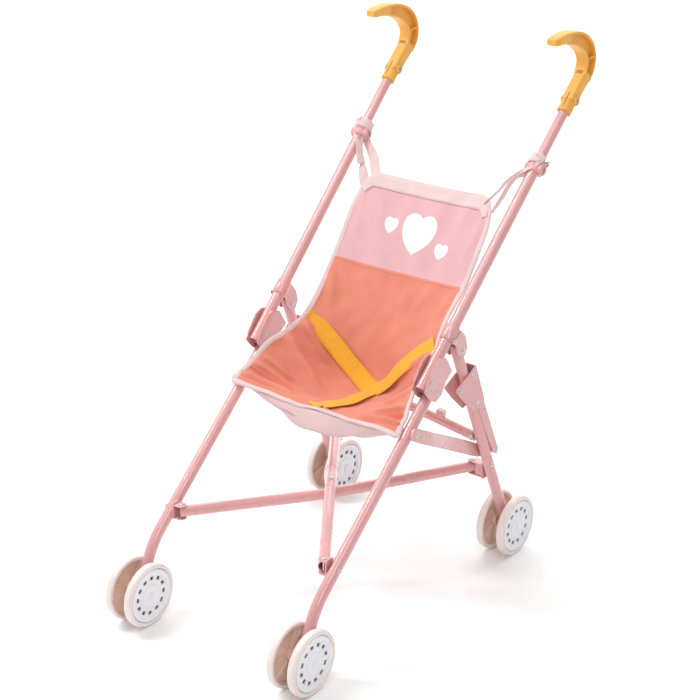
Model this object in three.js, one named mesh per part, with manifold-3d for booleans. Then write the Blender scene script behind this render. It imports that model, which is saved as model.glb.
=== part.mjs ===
// Folding doll stroller: two side frames joined by a crossed pair of bars, a rear folding strut
// and a fabric sling seat. Millimetres, +Z up, the child faces -Y, X runs across the seat.
// The origin is on the floor under the middle of the bounding box.
import * as THREE from 'three';
import { mergeVertices } from 'three/addons/utils/BufferGeometryUtils.js';
import Module from 'manifold-3d';

const wasm = await Module();
wasm.setup();

// ---- Driving dimensions ----
const WHEEL_R = 35;
const WHEEL_SIDES = 24;
const WHEEL_BORE_R = 2.4;
const WHEEL_OFFSET = 13.3;
const WHEEL_HALF = 4.3;
const AXLE_R = 2;
const FRONT_AXLE = [108.3, -241.2, 35];
const REAR_AXLE = [121.2, 118.1, 35];

const TUBE_SIDES = 12;
const MAIN_R = 5.9;
const MAIN_WALL = 0.5;
const HANDLE_R = 5.1;
const LEG_R = 5.7;
const LEG_WALL = 1;
const BAR_R = 5.6;
const BAR_END = 2;

// Straight line of the main tube and the handle tube above it, low end and grip end.
const STICK_LOW = [109.9, -41, 253.8];
const STICK_HIGH = [116.4, 214.9, 491.3];
const MAIN_LENGTH = 290;
const HANDLE_INSERT = 18;
const HANDLE_TOP = 24;

// Pivots of one side frame, [x, y, z].
const KNEE_PIVOT = [110.2, -33.9, 260.4];
const LEG_PIVOT = [112.6, 19.5, 279.5];
const BRACE_FRONT = [109.9, -62, 213.6];
const BRACE_REAR = [117.9, 79.6, 136.4];
const YOKE_FRONT_Y = -186;
const YOKE_REAR_Y = 87.7;
const YOKE_X = 95;
const CROSS_Z = 110.5;
const CROSS_STACK = 5.8;
const EAR_Z = BAR_R + 1.2;
const EAR_T = 1.4;
const FRONT_YOKE_LEG_X = 109;
const REAR_YOKE_LEG_X = 118;

// Folding strut behind the seat: pivots on the rear legs, rise to the middle, bar thickness, lap gap.
const STRUT_X = 106;
const STRUT_Y = 64.5;
const STRUT_Z = 158;
const STRUT_RISE = 16;
const STRUT_T = 3;
const STRUT_LAP = 3.6;
const STRUT_LEG_X = 113;

const FRONT_LEG_TOP = [110.5, -14, 254.6];
const FRONT_LEG_BEND = [108.7, -216.5, 83.5];
const PLATE = 1.2;
const BRACE_T = 3.6;
const GAP = 0.3;

// Moves everything so that the bounding box is centred on the origin.
const CENTRE_Y = 4.8;

// ---- Finishes ----
const colour = (hex, roughness = 0.45, metalness = 0) =>
  new THREE.MeshStandardMaterial({ color: hex, roughness, metalness });
const PAINT = () => colour(0xe8a9a8, 0.35);
const STEEL = () => colour(0xb9bcc0, 0.25, 0.9);
const GRIP = () => colour(0xf2b23c, 0.5);
const CREAM = () => colour(0xf1e8dc, 0.5);
const PALE_CLOTH = () => colour(0xeab9bb, 0.85);
const CORAL_CLOTH = () => colour(0xee8f74, 0.85);
const WEBBING = () => colour(0xf5b335, 0.8);

const group = new THREE.Group();

function add(name, geometry, material) {
  const mesh = new THREE.Mesh(geometry.translate(0, CENTRE_Y, 0), material);
  mesh.name = name;
  group.add(mesh);
}

// ---- Solid helpers ----
function toSolid(geometry) {
  const g = geometry.clone();
  g.deleteAttribute('normal');
  g.deleteAttribute('uv');
  const m = mergeVertices(g, 1e-3);
  const vertProperties = new Float32Array(m.attributes.position.array);
  const triVerts = new Uint32Array(m.index.array);
  return new wasm.Manifold(new wasm.Mesh({ numProp: 3, vertProperties, triVerts }));
}

function toGeometry(solid) {
  const mesh = solid.getMesh();
  const g = new THREE.BufferGeometry();
  g.setAttribute('position', new THREE.BufferAttribute(new Float32Array(mesh.vertProperties), 3));
  g.setIndex(new THREE.BufferAttribute(new Uint32Array(mesh.triVerts), 1));
  const flat = g.toNonIndexed();
  flat.computeVertexNormals();
  return flat;
}

// One body from overlapping solids, less the cutters.
function carve(bodies, cutters = []) {
  let solid = toSolid(bodies[0]);
  for (const body of bodies.slice(1)) {
    solid = solid.add(toSolid(body));
  }
  for (const cutter of cutters) {
    solid = solid.subtract(toSolid(cutter));
  }
  return toGeometry(solid);
}

function mirrored(geometry) {
  const g = geometry.index ? geometry.toNonIndexed() : geometry.clone();
  const p = g.attributes.position;
  for (let i = 0; i < p.count; i += 3) {
    const [ax, ay, az] = [p.getX(i + 1), p.getY(i + 1), p.getZ(i + 1)];
    const [bx, by, bz] = [p.getX(i + 2), p.getY(i + 2), p.getZ(i + 2)];
    p.setXYZ(i, -p.getX(i), p.getY(i), p.getZ(i));
    p.setXYZ(i + 1, -bx, by, bz);
    p.setXYZ(i + 2, -ax, ay, az);
  }
  g.computeVertexNormals();
  return g;
}

const vec = (p) => new THREE.Vector3(...p);
const along = (a, b, t) => vec(a).lerp(vec(b), t).toArray();
const distance = (a, b) => vec(a).distanceTo(vec(b));

// Turns a shape drawn about the Z axis from the origin so that it runs from a towards b,
// its X axis as near as it can be to the across axis.
function aim(geometry, a, b, asked = [1, 0, 0]) {
  const z = vec(b).sub(vec(a)).normalize();
  const across = Math.abs(z.dot(vec(asked).normalize())) > 0.95 ? [0, 1, 0] : asked;
  const x = vec(across).addScaledVector(z, -vec(across).dot(z)).normalize();
  const y = new THREE.Vector3().crossVectors(z, x);
  const m = new THREE.Matrix4().makeBasis(x, y, z).setPosition(vec(a));
  return geometry.applyMatrix4(m);
}

function circle(r, sides, turn = 0) {
  const points = [];
  for (let i = 0; i < sides; i += 1) {
    const a = turn + (2 * Math.PI * i) / sides;
    points.push(new THREE.Vector2(r * Math.cos(a), r * Math.sin(a)));
  }
  return points;
}

function prism(outline, depth, holes = []) {
  const shape = new THREE.Shape(outline);
  shape.holes = holes.map((hole) => new THREE.Path(hole));
  return new THREE.ExtrudeGeometry(shape, { depth, bevelEnabled: false, curveSegments: 1 });
}

function tube(a, b, r, wall, sides = TUBE_SIDES) {
  return aim(prism(circle(r, sides), distance(a, b), [circle(r - wall, sides)]), a, b);
}

function rod(a, b, r, sides = TUBE_SIDES) {
  return aim(prism(circle(r, sides), distance(a, b)), a, b);
}

function ball(centre, r) {
  const g = new THREE.SphereGeometry(r, 8, 6);
  g.deleteAttribute('normal');
  g.deleteAttribute('uv');
  return mergeVertices(g, 1e-3).translate(...centre);
}

// A plate lying across X between x0 and x1; its outline is given as [y, z].
const SIDE_ON = new THREE.Matrix4().makeBasis(
  new THREE.Vector3(0, 1, 0),
  new THREE.Vector3(0, 0, 1),
  new THREE.Vector3(1, 0, 0),
);
function plate(outline, x0, x1) {
  const points = outline.map(([y, z]) => new THREE.Vector2(y, z));
  if (THREE.ShapeUtils.isClockWise(points)) {
    points.reverse();
  }
  const g = prism(points, x1 - x0);
  return g.applyMatrix4(SIDE_ON).translate(x0, 0, 0);
}

// Shears a piece drawn at x = 0 so that its x grows with y, passing x0 at y0.
function lean(slope, x0, y0) {
  return new THREE.Matrix4().set(1, slope, 0, x0 - slope * y0, 0, 1, 0, 0, 0, 0, 1, 0, 0, 0, 0, 1);
}

// A round pin lying across X with a low head at each end.
function pin(centre, x0, x1, r, headR, head) {
  const [, y, z] = centre;
  return carve([
    rod([x0, y, z], [x1, y, z], r, 8),
    rod([x0, y, z], [x0 + head, y, z], headR, 8),
    rod([x1 - head, y, z], [x1, y, z], headR, 8),
  ]);
}

const crossBore = (centre, x0, x1, r, sides = 8) =>
  rod([x0, centre[1], centre[2]], [x1, centre[1], centre[2]], r, sides);

// A point on the stick by its distance from the low end and its offset towards the rear and down.
const STICK = vec(STICK_HIGH).sub(vec(STICK_LOW)).normalize();
const REARWARD = new THREE.Vector3(0, STICK.z, -STICK.y).normalize();
const onStick = (s, n = 0, across = 0) =>
  vec(STICK_LOW).addScaledVector(STICK, s).addScaledVector(REARWARD, n).add(vec([across, 0, 0])).toArray();
const yzStick = (s, n) => onStick(s, n).slice(1);
const STICK_LENGTH = distance(STICK_LOW, STICK_HIGH);

// ---- Wheels ----
// Half section as [radius, distance from the inner rim face].
const WHEEL_PROFILE = [
  [WHEEL_BORE_R, 0],
  [6, 0],
  [6.6, 4.6],
  [29.8, 5.4],
  [30.6, 0],
  [33.8, 0],
  [35, 1.6],
  [35, 7],
  [33.4, 8.6],
  [25.4, 8.6],
  [24.4, 7.6],
  [WHEEL_BORE_R, 7.6],
  [WHEEL_BORE_R, 0],
];

function wheel(centre, direction) {
  // The tread's flats are WHEEL_R from the axle, one of them facing straight down.
  const stretch = 1 / Math.cos(Math.PI / WHEEL_SIDES);
  const points = WHEEL_PROFILE.map(([r, d]) => new THREE.Vector2(r * stretch, d - WHEEL_HALF));
  const g = new THREE.LatheGeometry(points, WHEEL_SIDES);
  g.rotateY(Math.PI / WHEEL_SIDES);
  // Lathe axis Y becomes X; the face side points in the given direction along X.
  g.applyMatrix4(new THREE.Matrix4().makeRotationZ(-direction * (Math.PI / 2)));
  return carve([g.translate(centre[0], centre[1], centre[2])]);
}

function wheelPair(side, place, axle) {
  const [x, y, z] = axle;
  const reach = WHEEL_OFFSET + WHEEL_HALF;
  const nodes = {
    [`${side}_${place}_wheel_outer`]: [wheel([x + WHEEL_OFFSET, y, z], 1), CREAM()],
    [`${side}_${place}_wheel_inner`]: [wheel([x - WHEEL_OFFSET, y, z], -1), CREAM()],
    [`${side}_${place}_axle`]: [
      carve([
        rod([x - reach - 0.6, y, z], [x + reach + 0.6, y, z], AXLE_R, 8),
        rod([x - reach - 0.6, y, z], [x - reach + 1 - GAP, y, z], 4.4, 10),
        rod([x + reach - 1 + GAP, y, z], [x + reach + 0.6, y, z], 4.4, 10),
      ]),
      STEEL(),
    ],
  };
  return nodes;
}

// ---- Handle grip ----
// Middle line of the cane hook from its neck to its tip as [y, z, half depth].
const HOOK_LINE = [
  [224.6, 500.3, 8],
  [237, 512.4, 8.3],
  [249, 522.5, 8.8],
  [256.3, 532.5, 9.3],
  [257.3, 543.5, 9.6],
  [252, 554.5, 9.6],
  [241, 563.5, 9.2],
  [226.5, 569.8, 8.2],
  [211, 572.6, 7.2],
  [196, 573.2, 6.4],
  [181.5, 572.4, 5.4],
];
const GRIP_HALF_WIDTH = 7.5;
const GRIP_FLANGE = 2.4;
const SCREW_S = 365;

// A band of the hook between two stations, drawn in by inset on both sides.
function hookBand(first, last, inset) {
  const outer = [];
  const inner = [];
  for (let i = first; i <= last; i += 1) {
    const [y, z, half] = HOOK_LINE[i];
    const [py, pz] = HOOK_LINE[Math.max(i - 1, 0)];
    const [ny, nz] = HOOK_LINE[Math.min(i + 1, HOOK_LINE.length - 1)];
    const d = Math.hypot(ny - py, nz - pz);
    const reach = half - inset;
    outer.push([y + ((nz - pz) / d) * reach, z - ((ny - py) / d) * reach]);
    inner.unshift([y - ((nz - pz) / d) * reach, z + ((ny - py) / d) * reach]);
  }
  return outer.concat(inner);
}

function grip() {
  const x = onStick(SCREW_S)[0];
  const low = STICK_LENGTH - 1;
  const hook = plate(hookBand(0, HOOK_LINE.length - 1, 0), x - GRIP_HALF_WIDTH, x + GRIP_HALF_WIDTH);
  const sleeve = rod(onStick(low), onStick(low + 26), 8, 16);
  const web = hookBand(3, 8, GRIP_FLANGE);
  const seat = onStick(SCREW_S);
  const boss = crossBore(seat, x - 9.4, x + 9.4, 4.8, 12);
  return carve(
    [hook, sleeve, boss],
    [
      rod(onStick(low - 1), onStick(low + HANDLE_TOP + 1.6), HANDLE_R + 0.35, TUBE_SIDES),
      crossBore(seat, x - 12, x + 12, 2.4, 10),
      crossBore(seat, x - 12, x - 5.7, 3.6, 12),
      crossBore(seat, x + 5.7, x + 12, 3.6, 12),
      plate(web, x - GRIP_HALF_WIDTH - 1, x - 1.6),
      plate(web, x + 1.6, x + GRIP_HALF_WIDTH + 1),
    ],
  );
}

function gripScrew() {
  const seat = onStick(SCREW_S);
  const x = seat[0];
  return pin(seat, x - 7.3, x + 7.3, 2, 3.1, 1.3);
}

// ---- One side frame, drawn on the +X side ----
function sideFrame(side) {
  const nodes = {};

  nodes[`${side}_handle_grip`] = [grip(), GRIP()];
  nodes[`${side}_grip_screw`] = [gripScrew(), STEEL()];
  nodes[`${side}_handle_tube`] = [
    carve(
      [tube(onStick(MAIN_LENGTH - HANDLE_INSERT), onStick(STICK_LENGTH - 1 + HANDLE_TOP), HANDLE_R, 0.8)],
      [crossBore(onStick(SCREW_S), 105, 130, 2.3, 10)],
    ),
    PAINT(),
  ];

  const kneeBore = crossBore(KNEE_PIVOT, 95, 125, 2.1);
  nodes[`${side}_main_tube`] = [
    carve([tube(onStick(0), onStick(MAIN_LENGTH), MAIN_R, MAIN_WALL)], [kneeBore]),
    PAINT(),
  ];

  // Plastic clip round the main tube's top, drawn tight by a cross bolt in a boss behind the tube.
  const clipS = MAIN_LENGTH - 13;
  const clipBore = rod(onStick(clipS - 12), onStick(clipS + 12), MAIN_R + 0.25, TUBE_SIDES);
  const bossAt = onStick(clipS, 10);
  const bossX = bossAt[0];
  nodes[`${side}_joint_clip`] = [
    carve(
      [
        rod(onStick(clipS - 6.5), onStick(clipS + 6.5), MAIN_R + 1.7, 16),
        crossBore(bossAt, bossX - 5.5, bossX + 5.5, 5.6, 14),
      ],
      [
        clipBore,
        crossBore(bossAt, bossX - 7, bossX + 7, 2.2, 8),
        crossBore(bossAt, bossX - 7, bossX - 3.4, 3.6, 12),
        crossBore(bossAt, bossX + 3.4, bossX + 7, 3.6, 12),
      ],
    ),
    PAINT(),
  ];
  nodes[`${side}_joint_bolt`] = [pin(bossAt, bossX - 4.9, bossX + 4.9, 1.9, 3.2, 1.2), STEEL()];

  // Riveted collar whose two cheeks carry the rear leg.
  const collarLow = 60;
  const collarHigh = 77;
  const collarBore = rod(onStick(collarLow - 2), onStick(collarHigh + 2), MAIN_R + 0.25, TUBE_SIDES);
  const cheek = [
    yzStick(collarLow + 1, 2),
    yzStick(collarHigh, 2),
    yzStick(collarHigh - 1, 16),
    yzStick(collarHigh - 7, 28),
    yzStick(collarLow + 1, 31),
    yzStick(collarLow - 5, 27),
    yzStick(collarLow - 4, 14),
  ];
  const legBore = crossBore(LEG_PIVOT, 95, 130, 2.1);
  const between = plate(
    [
      yzStick(collarLow - 14, 11),
      yzStick(collarHigh + 3, 11),
      yzStick(collarHigh + 3, 42),
      yzStick(collarLow - 14, 42),
    ],
    LEG_PIVOT[0] - LEG_R - 0.6,
    LEG_PIVOT[0] + LEG_R + 0.6,
  );
  nodes[`${side}_collar`] = [
    carve(
      [
        rod(onStick(collarLow), onStick(collarHigh), MAIN_R + 1.5, 16),
        plate(cheek, LEG_PIVOT[0] - LEG_R - 0.6 - PLATE, LEG_PIVOT[0] + LEG_R + 0.6 + PLATE),
      ],
      [collarBore, between, legBore],
    ),
    PAINT(),
  ];
  nodes[`${side}_collar_pin`] = [
    pin(LEG_PIVOT, LEG_PIVOT[0] - LEG_R - 3.2, LEG_PIVOT[0] + LEG_R + 3.4, 1.8, 3.1, 1.2),
    STEEL(),
  ];

  // Channel bracket: fixed to the front leg, straddling the main tube and pinned to it.
  const kneeX = KNEE_PIVOT[0];
  const kneeHalf = MAIN_R + 0.65;
  const kneeOutline = [
    yzStick(0, -6),
    yzStick(29.6, -10.5),
    yzStick(43, 2),
    yzStick(41, 20),
    yzStick(34, 27),
    yzStick(10, 28),
    yzStick(-3, 20),
    yzStick(-4, 6),
  ];
  const kneeInside = plate(
    [yzStick(-9, -14), yzStick(50, -14), yzStick(50, 24.6), yzStick(-9, 24.6)],
    kneeX - kneeHalf,
    kneeX + kneeHalf,
  );
  nodes[`${side}_knee_bracket`] = [
    carve([plate(kneeOutline, kneeX - kneeHalf - PLATE, kneeX + kneeHalf + PLATE)], [kneeInside, kneeBore]),
    PAINT(),
  ];
  nodes[`${side}_knee_pin`] = [
    pin(KNEE_PIVOT, kneeX - kneeHalf - 2.8, kneeX + kneeHalf + 2.8, 1.8, 3.1, 1.2),
    STEEL(),
  ];

  // Front leg: long tube, a bend, and a short lower run to the axle.
  const frontBore = crossBore(FRONT_AXLE, 90, 130, AXLE_R + 0.35);
  const braceBore = crossBore(BRACE_FRONT, 95, 125, 2.1);
  nodes[`${side}_front_leg`] = [
    carve(
      [
        rod(FRONT_LEG_TOP, FRONT_LEG_BEND, LEG_R),
        rod(FRONT_LEG_BEND, FRONT_AXLE, LEG_R),
        ball(FRONT_LEG_BEND, LEG_R),
        crossBore(FRONT_AXLE, FRONT_AXLE[0] - 7.6, FRONT_AXLE[0] + 7.6, 6, 14),
      ],
      [
        frontBore,
        crossBore([0, YOKE_FRONT_Y, CROSS_Z], 95, 125, 2.1),
        braceBore,
        rod(along(FRONT_LEG_TOP, FRONT_LEG_BEND, -0.01), along(FRONT_LEG_TOP, FRONT_LEG_BEND, 0.9), LEG_R - LEG_WALL, 10),
      ],
    ),
    PAINT(),
  ];
  Object.assign(nodes, wheelPair(side, 'front', FRONT_AXLE));

  // Rear leg: one straight tube from the collar to the rear axle.
  const legTop = along(LEG_PIVOT, REAR_AXLE, -0.024);
  nodes[`${side}_rear_leg`] = [
    carve(
      [
        rod(legTop, REAR_AXLE, LEG_R),
        crossBore(REAR_AXLE, REAR_AXLE[0] - 7.6, REAR_AXLE[0] + 7.6, 6, 14),
        ...strutLug(),
      ],
      [
        legBore,
        crossBore(REAR_AXLE, 100, 140, AXLE_R + 0.35),
        rod(along(LEG_PIVOT, REAR_AXLE, -0.04), along(LEG_PIVOT, REAR_AXLE, 0.93), LEG_R - LEG_WALL, 10),
      ],
    ),
    PAINT(),
  ];
  Object.assign(nodes, wheelPair(side, 'rear', REAR_AXLE));

  // Channel round the back of the rear leg, with a tail that stands off the leg below it.
  const onLeg = (t, n) => {
    const [, y, z] = along(LEG_PIVOT, REAR_AXLE, t);
    return [y + 0.922 * n, z + 0.388 * n];
  };
  const channelHalf = LEG_R + 0.5;
  const channelOutline = [
    onLeg(0.14, -24.5),
    onLeg(0.12, 14),
    onLeg(0.31, 12.4),
    onLeg(0.31, -7.2),
    onLeg(0.21, -18),
  ];
  const tailOutline = [onLeg(0.28, 12.6), onLeg(0.62, 16.5), onLeg(0.62, 12.5), onLeg(0.28, 6.8)];
  const channelInside = plate(
    [onLeg(0.05, -34), onLeg(0.05, LEG_R + 0.6), onLeg(0.67, LEG_R + 0.6), onLeg(0.67, -34)],
    -channelHalf,
    channelHalf,
  );
  const channel = carve([
    carve([plate(channelOutline, -channelHalf - PLATE, channelHalf + PLATE)], [channelInside]),
    plate(tailOutline, -channelHalf, channelHalf),
  ]);
  const flare = (REAR_AXLE[0] - LEG_PIVOT[0]) / (REAR_AXLE[1] - LEG_PIVOT[1]);
  nodes[`${side}_rear_bracket`] = [channel.applyMatrix4(lean(flare, LEG_PIVOT[0], LEG_PIVOT[1])), PAINT()];

  // Side brace: a flattened bar from the front leg to the rear leg.
  const braceAxis = vec([0, BRACE_REAR[1] - BRACE_FRONT[1], BRACE_REAR[2] - BRACE_FRONT[2]]).normalize();
  const braceUp = new THREE.Vector3(0, -braceAxis.z, braceAxis.y);
  const bracePoint = (pivot, s, n) => [
    pivot[1] + braceAxis.y * s + braceUp.y * n,
    pivot[2] + braceAxis.z * s + braceUp.z * n,
  ];
  const braceX0 = BRACE_FRONT[0] + LEG_R + 0.9;
  const braceX1 = BRACE_REAR[0] - LEG_R - 1.4 - BRACE_T;
  const jogStart = 34;
  const jogEnd = 96;
  const slope = (braceX1 - braceX0) / ((jogEnd - jogStart) * braceAxis.y);
  const frontBar = plate(
    [
      bracePoint(BRACE_FRONT, -4, 5),
      bracePoint(BRACE_FRONT, jogStart + 1, 6.3),
      bracePoint(BRACE_FRONT, jogStart + 1, -6.3),
      bracePoint(BRACE_FRONT, -5, -4),
    ],
    braceX0,
    braceX0 + BRACE_T,
  );
  const jog = plate(
    [
      bracePoint(BRACE_FRONT, jogStart, 6.3),
      bracePoint(BRACE_FRONT, jogEnd, 6.8),
      bracePoint(BRACE_FRONT, jogEnd, -6.8),
      bracePoint(BRACE_FRONT, jogStart, -6.3),
    ],
    0,
    BRACE_T,
  ).applyMatrix4(lean(slope, braceX0, bracePoint(BRACE_FRONT, jogStart, 0)[0]));
  const rearBar = plate(
    [
      bracePoint(BRACE_FRONT, jogEnd - 3, 6.8),
      bracePoint(BRACE_REAR, -16, 6.4),
      bracePoint(BRACE_REAR, 5, 3),
      bracePoint(BRACE_REAR, 6, -5),
      bracePoint(BRACE_REAR, -8, -8),
      bracePoint(BRACE_FRONT, jogEnd - 3, -6.8),
    ],
    braceX1,
    braceX1 + BRACE_T,
  );
  nodes[`${side}_side_brace`] = [carve([frontBar, jog, rearBar], [braceBore]), PAINT()];
  nodes[`${side}_brace_pin`] = [
    pin(BRACE_FRONT, BRACE_FRONT[0] - LEG_R - 1.6, braceX0 + BRACE_T + 1.6, 1.8, 3.1, 1.2),
    STEEL(),
  ];

  return nodes;
}

// ---- Crossed bars under the seat ----
// A yoke is a base plate on the inner side of a leg with level ears over and under a bar's end.
function yoke(legX, y, hasLegPin) {
  const z = CROSS_Z;
  const plateX = legX - LEG_R - 1.2;
  const reach = plateX - YOKE_X;
  const pinEnd = EAR_Z + 2;
  const bodies = [
    new THREE.BoxGeometry(1.6, 12, 20).translate(plateX, y, z),
    rod([YOKE_X, y, z - pinEnd], [YOKE_X, y, z + pinEnd], 1.6, 8),
  ];
  for (const sign of [-1, 1]) {
    const level = z + sign * EAR_Z;
    bodies.push(new THREE.BoxGeometry(reach, 11, EAR_T).translate(YOKE_X + reach / 2, y, level));
    bodies.push(rod([YOKE_X, y, level - EAR_T / 2], [YOKE_X, y, level + EAR_T / 2], 5.5, 12));
    const head = z + sign * (EAR_Z + 1.3);
    bodies.push(rod([YOKE_X, y, head - 0.8], [YOKE_X, y, head + 0.8], 3, 8));
  }
  if (hasLegPin) {
    bodies.push(rod([plateX, y, z], [legX + LEG_R + 1.6, y, z], 1.8, 8));
    bodies.push(rod([legX + LEG_R + GAP, y, z], [legX + LEG_R + 1.6, y, z], 3.2, 8));
  }
  return carve(bodies);
}

// A tube from one front yoke to the opposite rear yoke, passing over or under the other at its middle.
function crossBar(frontSign, rise) {
  const front = [frontSign * YOKE_X, YOKE_FRONT_Y, CROSS_Z];
  const rear = [-frontSign * YOKE_X, YOKE_REAR_Y, CROSS_Z];
  const middle = [0, (YOKE_FRONT_Y + YOKE_REAR_Y) / 2, CROSS_Z + rise];
  const bodies = [ball(middle, BAR_R)];
  const holes = [rod([middle[0], middle[1], middle[2] - 9], [middle[0], middle[1], middle[2] + 9], 2, 8)];
  for (const end of [front, rear]) {
    const half = distance(end, middle);
    bodies.push(rod(along(end, middle, -BAR_END / half), middle, BAR_R, 12));
    holes.push(rod(along(end, middle, -9 / half), along(end, middle, 22 / half), BAR_R - 1, 12));
    holes.push(rod([end[0], end[1], end[2] - 9], [end[0], end[1], end[2] + 9], 2, 8));
  }
  return carve(bodies, holes);
}

// ---- Rear folding strut ----
// Two flat halves, hinged on lugs inside the rear legs and lapped at the middle.
const STRUT_LENGTH = Math.hypot(STRUT_X, STRUT_RISE);

// Turns a piece drawn along +X from a strut's outer pivot to its place on one side.
function placeStrut(geometry, sign, y) {
  geometry.rotateY(-Math.atan2(STRUT_RISE, -sign * STRUT_X));
  return geometry.translate(sign * STRUT_X, y, STRUT_Z);
}

function strutHalf(sign, y) {
  const length = STRUT_LENGTH;
  const bar = new THREE.BoxGeometry(length, STRUT_T, 9).translate(length / 2, 0, 0);
  const eye = (d) => rod([d, -STRUT_T / 2, 0], [d, STRUT_T / 2, 0], 5.2, 12);
  return placeStrut(carve([bar, eye(0), eye(length)], [rod([0, -5, 0], [0, 5, 0], 2.1, 8)]), sign, y);
}

function strutLug() {
  const y = STRUT_Y + STRUT_T + STRUT_LAP;
  const inner = STRUT_X - 5;
  return [
    new THREE.BoxGeometry(STRUT_LEG_X - inner, 2, 10).translate((STRUT_LEG_X + inner) / 2, y + 1, STRUT_Z),
    rod([STRUT_X, STRUT_Y - 1.6, STRUT_Z], [STRUT_X, y + 1, STRUT_Z], 1.8, 8),
    rod([STRUT_X, STRUT_Y - 1.6, STRUT_Z], [STRUT_X, STRUT_Y - 0.4, STRUT_Z], 3.2, 8),
  ];
}

// ---- Fabric ----
// Middle line of the sling as [y, z], from its top edge down to the front hem.
const SLING = [
  [134, 408],
  [78, 323],
  [45, 268],
  [25, 222],
  [12, 207],
  [-30, 205],
  [-76, 214],
];
const CLOTH = 2.4;
const SEAT_HALF_WIDTH = 86;

function slingPanel(points) {
  const left = [];
  const right = [];
  points.forEach(([y, z], i) => {
    const [py, pz] = points[Math.max(i - 1, 0)];
    const [ny, nz] = points[Math.min(i + 1, points.length - 1)];
    const d = Math.hypot(ny - py, nz - pz);
    const offset = [(-(nz - pz) / d) * (CLOTH / 2), ((ny - py) / d) * (CLOTH / 2)];
    left.push([y + offset[0], z + offset[1]]);
    right.unshift([y - offset[0], z - offset[1]]);
  });
  return carve([plate(left.concat(right), -SEAT_HALF_WIDTH, SEAT_HALF_WIDTH)]);
}

const strap = (a, b, width, across) =>
  carve([aim(new THREE.BoxGeometry(width, 1.2, distance(a, b)).translate(0, 0, distance(a, b) / 2), a, b, across)]);

// ---- Assembly ----
for (const [side, sign] of [['left', 1], ['right', -1]]) {
  for (const [name, [geometry, material]] of Object.entries(sideFrame(side))) {
    add(name, sign > 0 ? geometry : mirrored(geometry), material);
  }
  const frontYoke = yoke(FRONT_YOKE_LEG_X, YOKE_FRONT_Y, true);
  const rearYoke = yoke(REAR_YOKE_LEG_X, YOKE_REAR_Y, false);
  add(`${side}_front_yoke`, sign > 0 ? frontYoke : mirrored(frontYoke), PAINT());
  add(`${side}_rear_yoke`, sign > 0 ? rearYoke : mirrored(rearYoke), PAINT());
}

const MIDDLE_Y = (YOKE_FRONT_Y + YOKE_REAR_Y) / 2;
const PIN_REACH = CROSS_STACK + BAR_R + GAP + 1.3;
add('cross_bar_lower', crossBar(-1, -CROSS_STACK), PAINT());
add('cross_bar_upper', crossBar(1, CROSS_STACK), PAINT());
add(
  'cross_pin',
  carve([
    rod([0, MIDDLE_Y, CROSS_Z - PIN_REACH], [0, MIDDLE_Y, CROSS_Z + PIN_REACH], 1.6, 8),
    rod([0, MIDDLE_Y, CROSS_Z - PIN_REACH], [0, MIDDLE_Y, CROSS_Z + 1.3 - PIN_REACH], 3.2, 8),
    rod([0, MIDDLE_Y, CROSS_Z + PIN_REACH - 1.3], [0, MIDDLE_Y, CROSS_Z + PIN_REACH], 3.2, 8),
  ]),
  STEEL(),
);

add('left_rear_strut', strutHalf(1, STRUT_Y + STRUT_T / 2 + STRUT_LAP), PAINT());
add('right_rear_strut', strutHalf(-1, STRUT_Y + STRUT_T / 2), PAINT());
const latch = new THREE.BoxGeometry(9, 7, 8).translate(STRUT_LENGTH * 0.42, 0, -4.5 - GAP - 4);
add('strut_latch', placeStrut(carve([latch]), 1, STRUT_Y + STRUT_T / 2 + STRUT_LAP), PAINT());

add('seat_upper_panel', slingPanel(SLING.slice(0, 2)), PALE_CLOTH());
add('seat_lower_panel', slingPanel([[77.7, 322.5], ...SLING.slice(2)]), CORAL_CLOTH());
add('harness_left', strap([81, 16.6, 274], [9, 15, 217], 18, [0.5, -0.6, -0.6]), WEBBING());
add('harness_right', strap([-81, 16.6, 274], [-9, 15, 217], 18, [-0.5, -0.6, -0.6]), WEBBING());
add('harness_crotch', strap([0, 8, 214.5], [0, -74, 221], 18, [1, 0, 0]), WEBBING());
for (const [side, sign] of [['left', 1], ['right', -1]]) {
  const loop = strap([sign * 88, 137, 408], [sign * 104, 160, 434], 12, [1, 0, 0]);
  add(`strap_loop_${side}`, loop, PALE_CLOTH());
}

export default group;
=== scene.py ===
"""Doll stroller: the looks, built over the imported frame.

Drawing coordinates are millimetres in the part's own drawing frame, and put() takes them to the row frame.
Each side is drawn once, on the +X (left) side, and mirrored for the right one.
"""

import math

import bmesh
import bpy
import numpy as np
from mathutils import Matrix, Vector, noise


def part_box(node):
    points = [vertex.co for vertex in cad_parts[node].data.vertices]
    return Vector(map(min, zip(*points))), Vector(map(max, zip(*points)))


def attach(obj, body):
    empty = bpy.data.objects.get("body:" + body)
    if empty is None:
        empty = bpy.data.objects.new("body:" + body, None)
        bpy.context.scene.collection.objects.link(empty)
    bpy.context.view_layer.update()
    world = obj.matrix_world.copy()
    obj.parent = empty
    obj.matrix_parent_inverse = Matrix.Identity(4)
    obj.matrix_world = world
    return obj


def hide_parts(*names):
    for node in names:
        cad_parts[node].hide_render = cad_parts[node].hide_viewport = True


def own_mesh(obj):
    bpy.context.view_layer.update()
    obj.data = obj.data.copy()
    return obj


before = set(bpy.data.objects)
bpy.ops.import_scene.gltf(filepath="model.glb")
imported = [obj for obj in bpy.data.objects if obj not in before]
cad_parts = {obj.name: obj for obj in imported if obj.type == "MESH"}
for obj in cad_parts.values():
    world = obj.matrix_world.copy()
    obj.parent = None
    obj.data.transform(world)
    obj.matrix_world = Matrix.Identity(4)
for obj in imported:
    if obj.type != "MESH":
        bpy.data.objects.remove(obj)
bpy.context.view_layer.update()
MM = 0.001
SHIFT_Y = 4.8

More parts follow.
